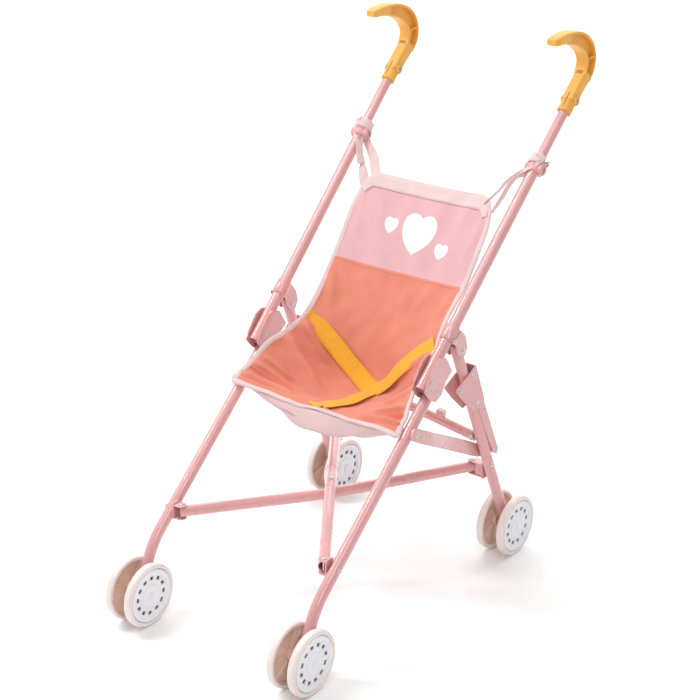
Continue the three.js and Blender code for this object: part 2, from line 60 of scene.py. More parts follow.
# ---- dimensions in millimetres
MAIN_R, HANDLE_R, LEG_R, BAR_R = 6.5, 5.8, 6.2, 6.2
STICK_LOW, STICK_HIGH = Vector((109.9, -41, 253.8)), Vector((116.4, 214.9, 491.3))
MAIN_LENGTH = 290
KNEE_PIVOT = Vector((110.2, -33.9, 260.4))
LEG_PIVOT = Vector((112.6, 19.5, 279.5))
FRONT_AXLE, REAR_AXLE = Vector((108.3, -241.2, 35)), Vector((121.2, 118.1, 35))
FRONT_LEG_TOP, FRONT_LEG_BEND = Vector((110.5, -14, 254.6)), Vector((108.7, -216.5, 83.5))
BRACE_FRONT, BRACE_REAR = Vector((109.9, -62, 213.6)), Vector((117.9, 79.6, 136.4))
YOKE_FRONT_Y, YOKE_REAR_Y, YOKE_X, CROSS_Z = -186, 87.7, 95, 110.5
FRONT_YOKE_LEG_X, REAR_YOKE_LEG_X = 109, 118
CROSS_MIDDLE, CROSS_RISE = Vector((0, (YOKE_FRONT_Y + YOKE_REAR_Y) / 2, CROSS_Z)), 6.5
STRUT_X, STRUT_Y, STRUT_Z, STRUT_RISE, STRUT_T, STRUT_LAP = 106, 64.5, 158, 16, 3, 3.6
WHEEL_OFFSET = 13.3
PRESSED = 1.3

STICK = (STICK_HIGH - STICK_LOW).normalized()
REARWARD = Vector((0, STICK.z, -STICK.y)).normalized()
STICK_LENGTH = (STICK_HIGH - STICK_LOW).length
X_AXIS, Y_AXIS, Z_AXIS = Vector((1, 0, 0)), Vector((0, 1, 0)), Vector((0, 0, 1))


def on_stick(s, n=0.0, x=0.0):
    """A point s along the side tube from its lower end, n behind its axis and x to the left of it."""
    return STICK_LOW + STICK * s + REARWARD * n + Vector((x, 0, 0))


def along_stick(*points):
    """Points (s, n) in the side tube's upright plane as (y, z)."""
    return [(p.y, p.z) for p in (on_stick(s, n) for s, n in points)]


# ---- materials
class Net:
    """A principled material with the nodes that feed its sockets."""

    def __init__(self, name, color, rough, **sockets):
        self.material = bpy.data.materials.new(name)
        self.material.use_nodes = True
        self.nodes, self.links = self.material.node_tree.nodes, self.material.node_tree.links
        self.shader = self.nodes["Principled BSDF"]
        self.coord = self.nodes.new("ShaderNodeTexCoord")
        self.shader.inputs["Base Color"].default_value = (*color, 1)
        self.shader.inputs["Roughness"].default_value = rough
        for socket, value in sockets.items():
            self.shader.inputs[socket.replace("_", " ")].default_value = value

    def feed(self, socket, output):
        self.links.new(output, self.shader.inputs[socket])

    def noise(self, scale, detail, kind="Object"):
        texture = self.nodes.new("ShaderNodeTexNoise")
        texture.inputs["Scale"].default_value = scale
        texture.inputs["Detail"].default_value = detail
        self.links.new(self.coord.outputs[kind], texture.inputs["Vector"])
        return texture.outputs["Fac"]

    def ramp(self, source, *stops):
        """A colour between stops (place, colour), where a plain number stands for a grey."""
        node = self.nodes.new("ShaderNodeValToRGB")
        elements = node.color_ramp.elements
        stops = [(place, (*(tone if isinstance(tone, tuple) else (tone,) * 3), 1)) for place, tone in stops]
        elements[0].position, elements[0].color = stops[0]
        elements[1].position, elements[1].color = stops[-1]
        for place, tone in stops[1:-1]:
            elements.new(place).color = tone
        self.links.new(source, node.inputs["Fac"])
        return node.outputs["Color"]

    def bump(self, height, strength, distance, before=None):
        """Bump into the shader, on top of an earlier bump where there is one."""
        node = self.nodes.new("ShaderNodeBump")
        node.inputs["Strength"].default_value = strength
        node.inputs["Distance"].default_value = distance
        self.links.new(height, node.inputs["Height"])
        if before is not None:
            self.links.new(before, node.inputs["Normal"])
        self.feed("Normal", node.outputs["Normal"])
        return node.outputs["Normal"]

    def calc(self, operation, *values):
        """A math node's output, from numbers and other outputs."""
        node = self.nodes.new("ShaderNodeMath")
        node.operation = operation
        for socket, value in zip(node.inputs, values):
            if isinstance(value, (int, float)):
                socket.default_value = value
            else:
                self.links.new(value, socket)
        return node.outputs[0]


def shade(c, k):
    return tuple(min(1.0, v * k) for v in c)


def paint(name, color):
    """Powder-coated steel tube: a fine orange peel, slow colour drift and a few scuffs."""
    net = Net(name, color, 0.3, Coat_Weight=0.9, Coat_Roughness=0.09)
    net.feed("Base Color", net.ramp(net.noise(14, 3), (0.3, shade(color, 0.94)), (0.7, shade(color, 1.04))))
    net.feed("Roughness", net.ramp(net.noise(160, 6), (0.35, 0.27), (0.75, 0.33)))
    net.bump(net.noise(900, 2), 0.06, 0.00005)
    return net.material


def steel(name):
    """Plated rivet steel with a fine grain."""
    net = Net(name, (0.62, 0.62, 0.63), 0.26, Metallic=1.0)
    grain = net.noise(1500, 4)
    net.feed("Roughness", net.ramp(grain, (0.3, 0.16), (0.75, 0.42)))
    net.feed("Base Color", net.ramp(grain, (0.3, (0.5, 0.5, 0.51)), (0.7, 0.72)))
    net.bump(grain, 0.2, 0.00006)
    return net.material


def plastic(name, color, rough, sss=0.08, drift=0.05):
    """Moulded plastic with a fine spark-eroded texture."""
    net = Net(name, color, rough, Subsurface_Weight=sss, Subsurface_Scale=0.004)
    slow = net.noise(30, 2)
    net.feed("Base Color", net.ramp(slow, (0.3, shade(color, 1 - drift)), (0.7, shade(color, 1 + drift))))
    grit = net.noise(1800, 3)
    net.feed("Roughness", net.ramp(grit, (0.3, rough - 0.06), (0.7, rough + 0.08)))
    net.bump(grit, 0.25, 0.0001)
    return net.material


def weave(name, color, pitch=0.00045, depth=0.00012, sheen=0.25, rib=None, hearts=()):
    """Plain-weave cloth with ribs (axis, pitch). UVs are metres on the flat cloth, so pitches are real."""
    rough = 0.82
    net = Net(name, color, rough, Sheen_Weight=sheen, Sheen_Roughness=0.5)
    split = net.nodes.new("ShaderNodeSeparateXYZ")
    net.links.new(net.coord.outputs["UV"], split.inputs[0])
    flat = split.outputs
    threads = [net.calc("SINE", net.calc("MULTIPLY", flat[axis], math.pi / pitch)) for axis in "XY"]
    cross = net.calc("MULTIPLY", *threads)
    height = net.calc("ABSOLUTE", cross)
    if rib:
        axis, rib_pitch = rib
        ribs = net.calc("SINE", net.calc("MULTIPLY", flat[axis], 2 * math.pi / rib_pitch))
        height = net.calc("ADD", height, net.calc("MULTIPLY", ribs, 0.8))
    slow, fuzz = net.noise(26, 4, "UV"), net.noise(900, 3, "UV")
    mixed = net.calc("ADD", slow, net.calc("MULTIPLY", cross, 0.06))
    tone = net.ramp(mixed, (0.3, shade(color, 0.92)), (0.5, color), (0.72, shade(color, 1.06)))
    net.feed("Base Color", printed(net, flat, tone, hearts) if hearts else tone)
    net.feed("Roughness", net.ramp(fuzz, (0.3, rough - 0.08), (0.7, rough + 0.08)))
    woven = net.bump(height, 0.6, depth)
    net.bump(slow, 0.4, 0.0016, woven)
    return net.material


def printed(net, flat, under, hearts):
    """White screen-printed hearts, (x^2 + y^2 - 1)^3 - x^2 y^3 < 0, from their middles and sizes in metres."""
    mask = None
    for middle_x, middle_y, size in hearts:
        x = net.calc("DIVIDE", net.calc("SUBTRACT", flat["X"], middle_x), size)
        y = net.calc("DIVIDE", net.calc("SUBTRACT", flat["Y"], middle_y), size)
        xx, yy = net.calc("MULTIPLY", x, x), net.calc("MULTIPLY", y, y)
        q = net.calc("SUBTRACT", net.calc("ADD", xx, yy), 1.0)
        cube = net.calc("MULTIPLY", net.calc("MULTIPLY", q, q), q)
        lobe = net.calc("MULTIPLY", xx, net.calc("MULTIPLY", yy, y))
        inside = net.calc("LESS_THAN", net.calc("SUBTRACT", cube, lobe), 0.0)
        mask = inside if mask is None else net.calc("MAXIMUM", mask, inside)
    mix = net.nodes.new("ShaderNodeMixRGB")
    net.links.new(mask, mix.inputs["Fac"])
    net.links.new(under, mix.inputs["Color1"])
    mix.inputs["Color2"].default_value = (0.93, 0.92, 0.92, 1)
    return mix.outputs["Color"]


PINK, PALE_PINK = (0.75, 0.37, 0.365), (0.80, 0.46, 0.485)
HEARTS = [(0.006, -0.052, 0.019), (-0.031, -0.047, 0.0075), (0.041, -0.062, 0.0075)]
PAINT = paint("frame_paint", PINK)
CLIP = plastic("clip_plastic", shade(PINK, 1.02), 0.35)
# Near-black for the insides of tube ends, the grip's slot, the screw recesses and behind the wheel windows:
# painted shade of those openings.
PAINTED_SHADE = plastic("bore_painted_shade", (0.16, 0.07, 0.06), 0.6, 0.0)
STEEL = steel("rivet_steel")
GRIP = plastic("grip_plastic", (0.86, 0.43, 0.075), 0.42, 0.12)
TYRE = plastic("wheel_tyre", (0.86, 0.77, 0.73), 0.42, 0.2)
FACE = plastic("wheel_face", (0.86, 0.85, 0.88), 0.35, 0.1, 0.02)
# The wheel's web is the same cream plastic as the tyre; its darker tan is painted shade of the hollow.
SHADED_WEB = plastic("wheel_web_painted_shade", (0.84, 0.62, 0.52), 0.14, 0.15, 0.12)
CORAL = weave("cloth_coral", (0.80, 0.262, 0.172))
PRINT = weave("cloth_print", PALE_PINK, hearts=HEARTS)
LINING = weave("cloth_lining", (0.80, 0.56, 0.57))
TAPE = weave("binding_tape", (0.82, 0.62, 0.61), pitch=0.0008, depth=0.0002, rib=("Y", 0.0016))
WEBBING = weave("webbing", (0.92, 0.45, 0.025), pitch=0.0011, depth=0.0003, rib=("X", 0.0022), sheen=0.15)
THREAD = plastic("thread", (0.80, 0.50, 0.50), 0.7, 0.0)
THREAD_CORAL = plastic("thread_coral", (0.72, 0.27, 0.17), 0.7, 0.0)


# ---- shapes in millimetres: (vertices, faces)
def basis(axis):
    """Two cross axes for an axis, and the axis itself."""
    z = axis.normalized()
    hint = X_AXIS if abs(z.x) < 0.9 else Y_AXIS
    x = (hint - z * hint.dot(z)).normalized()
    return x, z.cross(x), z


def loft(rings, closed=False):
    """A skin through rings of points, capped at both ends or closed from the last ring to the first."""
    n, count = len(rings[0]), len(rings)
    verts = [p for ring in rings for p in ring]
    faces = []
    for i in range(count if closed else count - 1):
        a, b = i * n, ((i + 1) % count) * n
        faces += [(a + j, a + (j + 1) % n, b + (j + 1) % n, b + j) for j in range(n)]
    if not closed:
        faces.append(tuple(reversed(range(n))))
        faces.append(tuple(range((count - 1) * n, count * n)))
    return verts, faces


def circle(centre, x, y, r, n):
    turns = np.linspace(0, 2 * math.pi, n, endpoint=False)
    return [centre + (x * math.cos(t) + y * math.sin(t)) * r for t in turns]


def half_turn(n):
    """n angles from a quarter turn back to a quarter turn on."""
    return np.linspace(-math.pi / 2, math.pi / 2, n)


def frames(points):
    """A tangent and two steady cross axes at each point of a path."""
    out = []
    x = basis(points[1] - points[0])[0]
    last = len(points) - 1
    for i in range(len(points)):
        t = (points[min(i + 1, last)] - points[max(i - 1, 0)]).normalized()
        x = (x - t * x.dot(t)).normalized()
        out.append((t, x, t.cross(x)))
    return out


def tube(points, r, wall=None, n=40, rim=0.35):
    """A tube along a path, hollow right through where it has a wall, with softly turned ends."""
    points = [Vector(p) for p in points]
    fr = frames(points)
    rings = []
    for i, (p, (t, x, y)) in enumerate(zip(points, fr)):
        if i == 0:
            rings += [circle(p, x, y, r - rim, n), circle(p + t * rim, x, y, r, n)]
        elif i == len(points) - 1:
            rings += [circle(p - t * rim, x, y, r, n), circle(p, x, y, r - rim, n)]
        else:
            rings.append(circle(p, x, y, r, n))
    if wall is None:
        return loft(rings)
    for p, (_t, x, y) in reversed(list(zip(points, fr))):
        rings.append(circle(p, x, y, r - wall, n))
    return loft(rings, closed=True)


def lathe(profile, origin, axis, n=48, closed=False):
    """Turns [(radius, height)] about an axis through origin. A closed profile makes a ring."""
    x, y, z = basis(axis)
    rings = [circle(origin + z * h, x, y, max(r, 1e-4), n) for r, h in profile]
    return loft(rings, closed=closed)


def fillet(outline, radius):
    """Turns the corners of a flat outline, each with a short curve."""
    steps = 4
    pts = [Vector((a, b)) for a, b in outline]
    out = []
    for i, p in enumerate(pts):
        a, b = pts[i - 1] - p, pts[(i + 1) % len(pts)] - p
        cut = min(radius / max(math.tan(a.angle(b) / 2), 0.05), a.length * 0.45, b.length * 0.45)
        p0, p1 = p + a.normalized() * cut, p + b.normalized() * cut
        for k in range(steps + 1):
            t = k / steps
            out.append(tuple(p0 * (1 - t) ** 2 + p * 2 * t * (1 - t) + p1 * t * t))
    return out


def plate(outline, x0, x1, radius, slope=0.0, y0=0.0):
    """A plate across X from x0 to x1, its (y, z) outline's corners rounded; slope leans it along y."""
    pts = fillet(outline, radius)
    return loft([[Vector((x + slope * (y - y0), y, z)) for y, z in pts] for x in sorted((x0, x1))])


def cheeks(outline, middle, half, radius, **lean):
    """Two pressed cheeks of a bracket, their inner faces half away from its middle."""
    inner, outer = half, half + PRESSED
    return [(plate(outline, middle + s * inner, middle + s * outer, radius, **lean), PAINT) for s in (-1, 1)]


def block(centre, size, axes=(X_AXIS, Y_AXIS, Z_AXIS)):
    a, b, c = (v.normalized() * s / 2 for v, s in zip(axes, size))
    v = [centre + a * i + b * j + c * k for i in (-1, 1) for j in (-1, 1) for k in (-1, 1)]
    f = [(0, 1, 3, 2), (4, 6, 7, 5), (0, 4, 5, 1), (2, 3, 7, 6), (0, 2, 6, 4), (1, 5, 7, 3)]
    return v, f


def rivet(centre, axis, r, sink=0.4):
    """A hollow rivet's rolled head with a dimple in its middle."""
    profile = [(0, -sink), (r, -sink), (r, 0.35), (r * 0.9, 0.85), (r * 0.66, 1.15), (r * 0.45, 1.05),
               (r * 0.36, 0.35), (0, 0.3)]
    return lathe(profile, Vector(centre), axis, 24), STEEL


def rivet_pair(centre, half, r):
    """Rivet heads on both sides of a bracket, half away from its middle."""
    return [rivet(Vector(centre) + X_AXIS * s * half, X_AXIS * s, r) for s in (-1, 1)]


def pin(start, end, r):
    return tube([start, end], r, None, 16), STEEL


def through_pin(centre, half):
    """A pivot pin across X with a rolled head at either end."""
    return [pin(centre - X_AXIS * half, centre + X_AXIS * half, 1.9), *rivet_pair(centre, half, 3.0)]


def bend_path(a, b, c, reach):
    """a to c by way of a smooth bend at b that starts reach before it and ends reach after it."""
    p0, p1 = b + (a - b).normalized() * reach, b + (c - b).normalized() * reach
    return [a] + [p0 * (1 - t) ** 2 + b * 2 * t * (1 - t) + p1 * t * t for t in np.linspace(0, 1, 10)] + [c]


# ---- from shapes to pieces
def put(p):
    """From drawing millimetres to the row frame's metres."""
    return Vector((p[0], p[1] + SHIFT_Y, p[2])) * MM


def piece(name, body, shapes, slot, replaces=(), mirror=False, bevel=0.0, segments=2, angle=38):
    """One Blender object from [(shape, material)], riding on a body and standing for CAD nodes."""
    bm = bmesh.new()
    mats = []
    for (verts, faces), mat in shapes:
        if mat not in mats:
            mats.append(mat)
        vs = [bm.verts.new(put((-p[0], p[1], p[2]) if mirror else p)) for p in verts]
        for f in faces:
            face = bm.faces.new([vs[i] for i in (reversed(f) if mirror else f)])
            face.material_index = mats.index(mat)
    bmesh.ops.remove_doubles(bm, verts=bm.verts, dist=5e-7)
    bmesh.ops.dissolve_degenerate(bm, dist=1e-7, edges=bm.edges)
    bmesh.ops.recalc_face_normals(bm, faces=bm.faces)
    mesh = bpy.data.meshes.new(name)
    bm.to_mesh(mesh)
    bm.free()
    for mat in mats:
        mesh.materials.append(mat)
    return dress(name, mesh, body, replaces, bevel, segments, angle)


def new_object(name, data):
    obj = bpy.data.objects.new(name, data)
    bpy.context.scene.collection.objects.link(obj)
    return obj


def dress(name, mesh, body, replaces=(), bevel=0.0, segments=2, angle=38):
    """An object for a mesh, with smooth shading up to an angle in degrees and bevelled edges past it."""
    obj = new_object(name, mesh)
    mesh.shade_smooth()
    mesh.set_sharp_from_angle(angle=math.radians(angle))
    if bevel:
        mod = obj.modifiers.new("edges", "BEVEL")
        mod.width = bevel * MM
        mod.segments = segments
        mod.limit_method = "ANGLE"
        mod.angle_limit = math.radians(angle)
        mod.harden_normals = False
    if replaces:
        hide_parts(*replaces)
    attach(obj, body)
    return obj


# ---- wheels
def disc(centre, direction):
    """The wheel's white face: a stepped disc with a ring of twelve small windows through it."""
    n, thick, window_r = 96, 1.3, 17.6
    # radius and outward height of each ring of the face
    profile = [(2.2, 4.6), (4.4, 4.6), (4.6, 4.1), (12.6, 3.9), (13.4, 3.1), (17.4, 2.9), (window_r, 2.9),
               (21.9, 2.9), (22.1, 2.9), (24.3, 3.0), (25.0, 4.0), (28.9, 4.1), (29.4, 3.4), (29.6, 0.4)]
    x, y, z = basis(direction)
    verts = [p for r, h in profile for p in circle(centre + z * h, x, y, r, n)]
    faces = []
    for i in range(len(profile) - 1):
        for j in range(n):
            if profile[i][0] == window_r and j % 8 < 4:
                continue
            a, b = i * n, (i + 1) * n
            faces.append((a + j, a + (j + 1) % n, b + (j + 1) % n, b + j))
    inner = [p - z * thick for p in verts]
    m = len(verts)
    back = [tuple(m + k for k in reversed(f)) for f in faces]
    edges = {}
    for f in faces:
        for a, b in zip(f, f[1:] + f[:1]):
            edges.setdefault(frozenset((a, b)), []).append((a, b))
    walls = [(b, a, m + a, m + b) for (a, b), *more in edges.values() if not more]
    return verts + inner, faces + back + walls


def wheel_shapes(centre, direction):
    """Tyre ring, white face and the hollow web behind it, its darker tan painted shade on the same cream
    plastic; direction is where the face looks.
    """
    z = direction
    tyre = [(29.8, 2.9), (30.3, 4.0), (31.2, 4.3), (33.2, 4.15), (34.5, 3.2), (35.0, 1.6), (35.0, -2.3),
            (34.6, -3.6), (33.6, -4.3), (31.4, -4.3), (30.6, -3.8), (30.2, -1.5), (29.8, 0.6)]
    web = [(2.2, 1.2), (29.7, 1.6), (30.0, -2.6), (29.2, -2.6), (28.8, 0.4), (8.4, 0.2), (6.8, -0.4),
           (6.4, -4.2), (5.6, -4.3), (2.2, -4.3)]
    hub = [(0, 3.9), (3.9, 3.9), (3.9, 5.0), (3.3, 5.5), (1.2, 5.6), (0, 5.3)]
    shapes = [
        (lathe(tyre, centre, z, 96, True), TYRE),
        (disc(centre, z), FACE),
        (lathe(web, centre, z, 64, True), SHADED_WEB),
        (lathe(hub, centre, z, 32), FACE),
        # A near-black ring on the web behind the windows: painted shade seen through them.
        (lathe([(16.4, 1.53), (23.2, 1.53), (23.2, 1.2), (16.4, 1.2)], centre, z, 48, True), PAINTED_SHADE),
    ]
    x, y, _ = basis(z)
    # Spokes on the web, in its darker tan, which is painted shade.
    for k in range(8):
        a = k * math.pi / 4 + 0.2
        out = x * math.cos(a) + y * math.sin(a)
        side = z.cross(out)
        shapes.append((block(centre + out * 18 - z * 0.6, (21.5, 1.1, 2.6), (out, side, z)), SHADED_WEB))
    return shapes


# ---- the grip
def smooth_line(points, steps):
    """A Catmull-Rom curve through points."""
    pts = [np.array(p, float) for p in points]
    pts = [2 * pts[0] - pts[1]] + pts + [2 * pts[-1] - pts[-2]]
    out = []
    for i in range(1, len(pts) - 2):
        p0, p1, p2, p3 = pts[i - 1 : i + 3]
        slope, bow, twist = p2 - p0, 2 * p0 - 5 * p1 + 4 * p2 - p3, 3 * p1 - p0 - 3 * p2 + p3
        for t in np.linspace(0, 1, steps, endpoint=False):
            out.append(0.5 * (2 * p1 + slope * t + bow * t**2 + twist * t**3))
    out.append(pts[-2])
    return out


# Middle line of the cane hook from its neck to its tip as (y, z, half depth).
HOOK_LINE = [
    (224.6, 500.3, 8.0), (237.2, 512.2, 7.6), (249.3, 522.3, 8.2), (256.3, 532.5, 9.3), (257.3, 543.5, 9.6),
    (252.0, 554.5, 9.6), (241.0, 563.5, 9.2), (226.5, 569.8, 8.0), (211.0, 572.8, 6.6), (196.0, 573.8, 5.4),
    (181.5, 573.0, 4.3),
]
SCREW_S = 365


def rounded_rect(half, low, high, r):
    """A rectangle with turned corners: x within half either way, n from low to high."""
    steps = 4
    r = min(r, half * 0.98, (high - low) * 0.49)
    x, top, foot = half - r, high - r, low + r
    out = []
    for cx, cn, start in ((x, top, 0), (-x, top, 90), (-x, foot, 180), (x, foot, 270)):
        for k in range(steps + 1):
            a = math.radians(start + 90 * k / steps)
            out.append((cx + r * math.cos(a), cn + r * math.sin(a)))
    return out


def grip_shapes():
    """A cane hook with two flanges, a thin web between them, one cross rib, a ridged tip and a round neck."""
    x = on_stick(SCREW_S).x
    line = smooth_line(HOOK_LINE, 8)
    tip = len(line) - 1
    shapes = []

    def strip(start, end, half, low, high, r, shape=lambda i: (1.0, 0.0)):
        """Part of the hook's section carried along it; low and high give n from the half depth."""
        rings = []
        for i in range(start, end + 1):
            y, z, depth = line[i]
            ahead, behind = line[min(i + 1, tip)], line[max(i - 1, 0)]
            t = Vector((0, ahead[0] - behind[0], ahead[1] - behind[1])).normalized()
            out = Vector((0, t.z, -t.y))
            scale, push = shape(i)
            c = Vector((x, y, z)) + t * push
            section = rounded_rect(half, low(depth), high(depth), r)
            rings.append([c + X_AXIS * a * scale + out * n * scale for a, n in section])
        shapes.append((loft(rings), GRIP))

    def blunt(i):
        """Ridges over the last stretch and a rounded end."""
        ridge = 1.0 + 0.045 * math.cos((tip - i) * 1.57)
        share = {tip: 0.70, tip - 1: 0.93}.get(i, 1.0)
        return share * ridge, 0.6 if i == tip else 0.0

    strip(0, 19, 7.4, lambda d: -d, lambda d: d, 3.2)
    strip(16, 66, 1.6, lambda d: 1.5 - d, lambda d: d - 1.5, 0.2)
    strip(16, 68, 7.5, lambda d: d - 2.9, lambda d: d, 1.1)
    strip(16, 68, 7.5, lambda d: -d, lambda d: 2.5 - d, 1.0)
    strip(64, tip, 7.4, lambda d: -d, lambda d: d, 2.6, blunt)
    strip(31, 32, 6.6, lambda d: 1.5 - d, lambda d: d - 1.5, 0.2)
    low, bore = STICK_LENGTH - 1, HANDLE_R + 0.3
    sleeve = [(bore, 0), (7.7, 0), (8.3, 0.7), (8.0, 8), (7.9, 22), (7.2, 26), (bore, 26)]
    shapes.append((lathe(sleeve, on_stick(low), STICK, 40, True), GRIP))
    boss = [(3.6, 6.5), (5.2, 6.5), (5.0, 9.0), (4.6, 9.4), (3.9, 9.4), (3.6, 9.1)]
    shapes += [(lathe(boss, on_stick(SCREW_S), X_AXIS * s, 32, True), GRIP) for s in (-1, 1)]
    # A thin near-black line down the sleeve: painted shade of its slot.
    slot = [on_stick(low + s, -7.85) for s in (1.0, 22.0)]
    shapes.append((tube(slot, 0.42, None, 12, 0.1), PAINTED_SHADE))
    return shapes


# ---- one side frame
def side_frame(side, mirror):
    body, front, rear = f"{side}_frame", f"{side}_front_leg", f"{side}_rear_leg"

    def make(name, rides, shapes, slot, nodes, **kw):
        return piece(f"{side}_{name}", rides, shapes, slot, [f"{side}_{n}" for n in nodes], mirror, **kw)

    make("grip_hook", body, grip_shapes(), "grip_plastic", ["handle_grip"], bevel=0.35)
    head = [(0, 7.4), (3.1, 7.4), (3.1, 8.3), (2.6, 8.8), (0, 8.9)]
    screw = []
    for s in (-1, 1):
        screw.append((lathe(head, on_stick(SCREW_S), X_AXIS * s, 24), STEEL))
        # A near-black cross on each head: painted shade of the cross recess.
        for a, b in ((4.2, 0.7), (0.7, 4.2)):
            screw.append((block(on_stick(SCREW_S, 0, s * 8.85), (0.3, a, b)), PAINTED_SHADE))
    make("grip_screw_head", body, screw, "rivet_steel", ["grip_screw"])

    # Handle tube inside the main tube. A little way up the main tube's open lower end sits a near-black disc:
    # painted shade inside the bore.
    handle = [on_stick(MAIN_LENGTH - 18), on_stick(STICK_LENGTH + 23)]
    make("handle_pole", body, [(tube(handle, HANDLE_R, 0.8), PAINT)], "frame_paint", ["handle_tube"])
    main = [on_stick(0), on_stick(2.5), on_stick(MAIN_LENGTH)]
    shade_disc_r = MAIN_R - 0.55
    shade_disc = [(0, 14), (shade_disc_r, 14), (shade_disc_r, 15), (0, 15)]
    make("main_pole", body, [(tube(main, MAIN_R, 0.5, rim=0.2), PAINT), (lathe(shade_disc, STICK_LOW, STICK), PAINTED_SHADE)],
         "frame_paint", ["main_tube"])

    def band(low, high, bulge):
        """Section of a ring round the main tube, as (radius, height along it)."""
        inside, edge, turned = MAIN_R + 0.2, MAIN_R + 1.3, 0.8
        return [(inside, low), (edge, low), (MAIN_R + bulge, low + turned), (MAIN_R + 1.8, high - turned),
                (edge, high), (inside, high)]

    # Clamp at the telescopic joint: a split band, two ears behind it and a recessed cross bolt.
    cs = MAIN_LENGTH - 13
    boss_at, ear_x = on_stick(cs - 1, 1), 115.1
    boss = [(0, 4), (6.5, 4), (6.9, 4.6), (6.9, 9.8), (6.4, 10.4), (4.2, 10.4), (3.8, 10.0), (3.8, 7.4),
            (0, 7.4)]
    head = [(0, 7.0), (3.2, 7.0), (3.2, 8.6), (2.7, 9.1), (1.5, 9.2), (1.35, 8.4), (0, 8.4)]
    ear = along_stick((cs - 6.0, 5), (cs + 6.4, 5), (cs + 5.4, 11.6), (cs - 5.0, 12.2))
    clamp = [(lathe(band(-7, 7, 1.8), on_stick(cs), STICK, 48, True), CLIP)]
    bolt = []
    for s in (-1, 1):
        clamp.append((lathe(boss, boss_at, X_AXIS * s, 36), CLIP))
        clamp.append((plate(ear, ear_x + s * 0.7, ear_x + s * 4.4, 1.2), CLIP))
        bolt.append((lathe(head, boss_at, X_AXIS * s, 24), STEEL))
    make("clip_clamp", body, clamp, "clip_plastic", ["joint_clip"], bevel=0.4)
    make("clip_bolt", body, bolt, "rivet_steel", ["joint_bolt"])

    # Riveted collar with two cheeks for the rear leg.
    half = LEG_R + 0.6
    cheek = along_stick((61, 2), (76.8, 2), (76, 16), (70, 28), (61, 31), (55, 27), (56, 14))
    back = along_stick((76.4, 8.5), (75.8, 16.5), (74.6, 16), (75.2, 8.5))
    make("collar_band", body, [
        (lathe(band(60, 77, 1.7), STICK_LOW, STICK, 48, True), PAINT),
        *cheeks(cheek, LEG_PIVOT.x, half, 2.6),
        (plate(back, LEG_PIVOT.x - half, LEG_PIVOT.x + half, 0.3), PAINT)],
        "frame_paint", ["collar"], bevel=0.45)
    half += PRESSED
    make("collar_rivets", body, through_pin(LEG_PIVOT, half) + rivet_pair((LEG_PIVOT.x, 4.0, 294.9), half, 2.8),
         "rivet_steel", ["collar_pin"])

    # Channel bracket on top of the front leg, open at the front, straddling the main tube.
    kx, half = KNEE_PIVOT.x, MAIN_R + 0.65
    knee = along_stick((-3, -5), (30, -10), (37, -7), (43, 4), (38.6, 25.5), (25, 23), (11, 27), (0, 23),
                       (-4, 12))
    web = along_stick((38, 25), (25, 22.8), (11, 26.8), (0.6, 22.8), (1.2, 21.6), (11, 25.3), (25, 21.3),
                      (38, 23.5))
    parts = [(plate(web, kx - half - 0.6, kx + half + 0.6, 0.5), PAINT), *cheeks(knee, kx, half, 2.2)]
    for s in (-1, 1):
        lip = [on_stick(3.5, -6.4), on_stick(18, -8.6), on_stick(28.5, -9.9)]
        parts.append((tube([(kx + s * (half + 0.75), p.y, p.z) for p in lip], 1.15, None, 16), PAINT))
    make("knee_channel", front, parts, "frame_paint", ["knee_bracket"], bevel=0.45)
    half += PRESSED
    make("knee_rivets", front, through_pin(KNEE_PIVOT, half) + rivet_pair((kx, -23.2, 246.5), half, 2.8),
         "rivet_steel", ["knee_pin"])

    # Front leg with its bend and the eye for the axle.
    path = bend_path(FRONT_LEG_TOP, FRONT_LEG_BEND, FRONT_AXLE, 17)
    path.insert(1, FRONT_LEG_TOP.lerp(path[1], 0.5))
    eye = [(2.4, -7.6), (5.7, -7.6), (6.1, -7.1), (6.1, 7.1), (5.7, 7.6), (2.4, 7.6)]
    make("leg_front", front, [
        (tube(path, LEG_R), PAINT),
        (lathe(eye, FRONT_AXLE, X_AXIS, 40, True), PAINT),
        rivet((FRONT_YOKE_LEG_X + LEG_R - 0.3, YOKE_FRONT_Y, CROSS_Z), X_AXIS, 3.0)],
        "frame_paint", ["front_leg"])

    # Rear leg with the lug that carries the folding strut.
    leg_top = LEG_PIVOT.lerp(REAR_AXLE, -0.03)
    inner, outer, lug_y = STRUT_X - 5, 113, STRUT_Y + STRUT_T + STRUT_LAP
    make("leg_rear", rear, [
        (tube([leg_top, LEG_PIVOT.lerp(REAR_AXLE, 0.5), REAR_AXLE], LEG_R, None, rim=1.2), PAINT),
        (lathe(eye, REAR_AXLE, X_AXIS, 40, True), PAINT),
        (block(Vector(((outer + inner) / 2, lug_y + 1, STRUT_Z)), (outer - inner, 2, 10)), PAINT),
        pin((STRUT_X, STRUT_Y - 0.9, STRUT_Z), (STRUT_X, lug_y + 1, STRUT_Z), 1.8),
        rivet((STRUT_X, STRUT_Y - 0.5, STRUT_Z), -Y_AXIS, 3.0),
        rivet((118.4 + LEG_R, 80.9, 123.8), X_AXIS, 3.0, 1.2)], "frame_paint", ["rear_leg"])

    # Tapering channel round the rear leg, with a tail down its back.
    def along_leg(*points):
        """Points (share of the way down, n behind the leg) as (y, z)."""
        spots = [(LEG_PIVOT.lerp(REAR_AXLE, t), n) for t, n in points]
        return [(p.y + 0.922 * n, p.z + 0.388 * n) for p, n in spots]

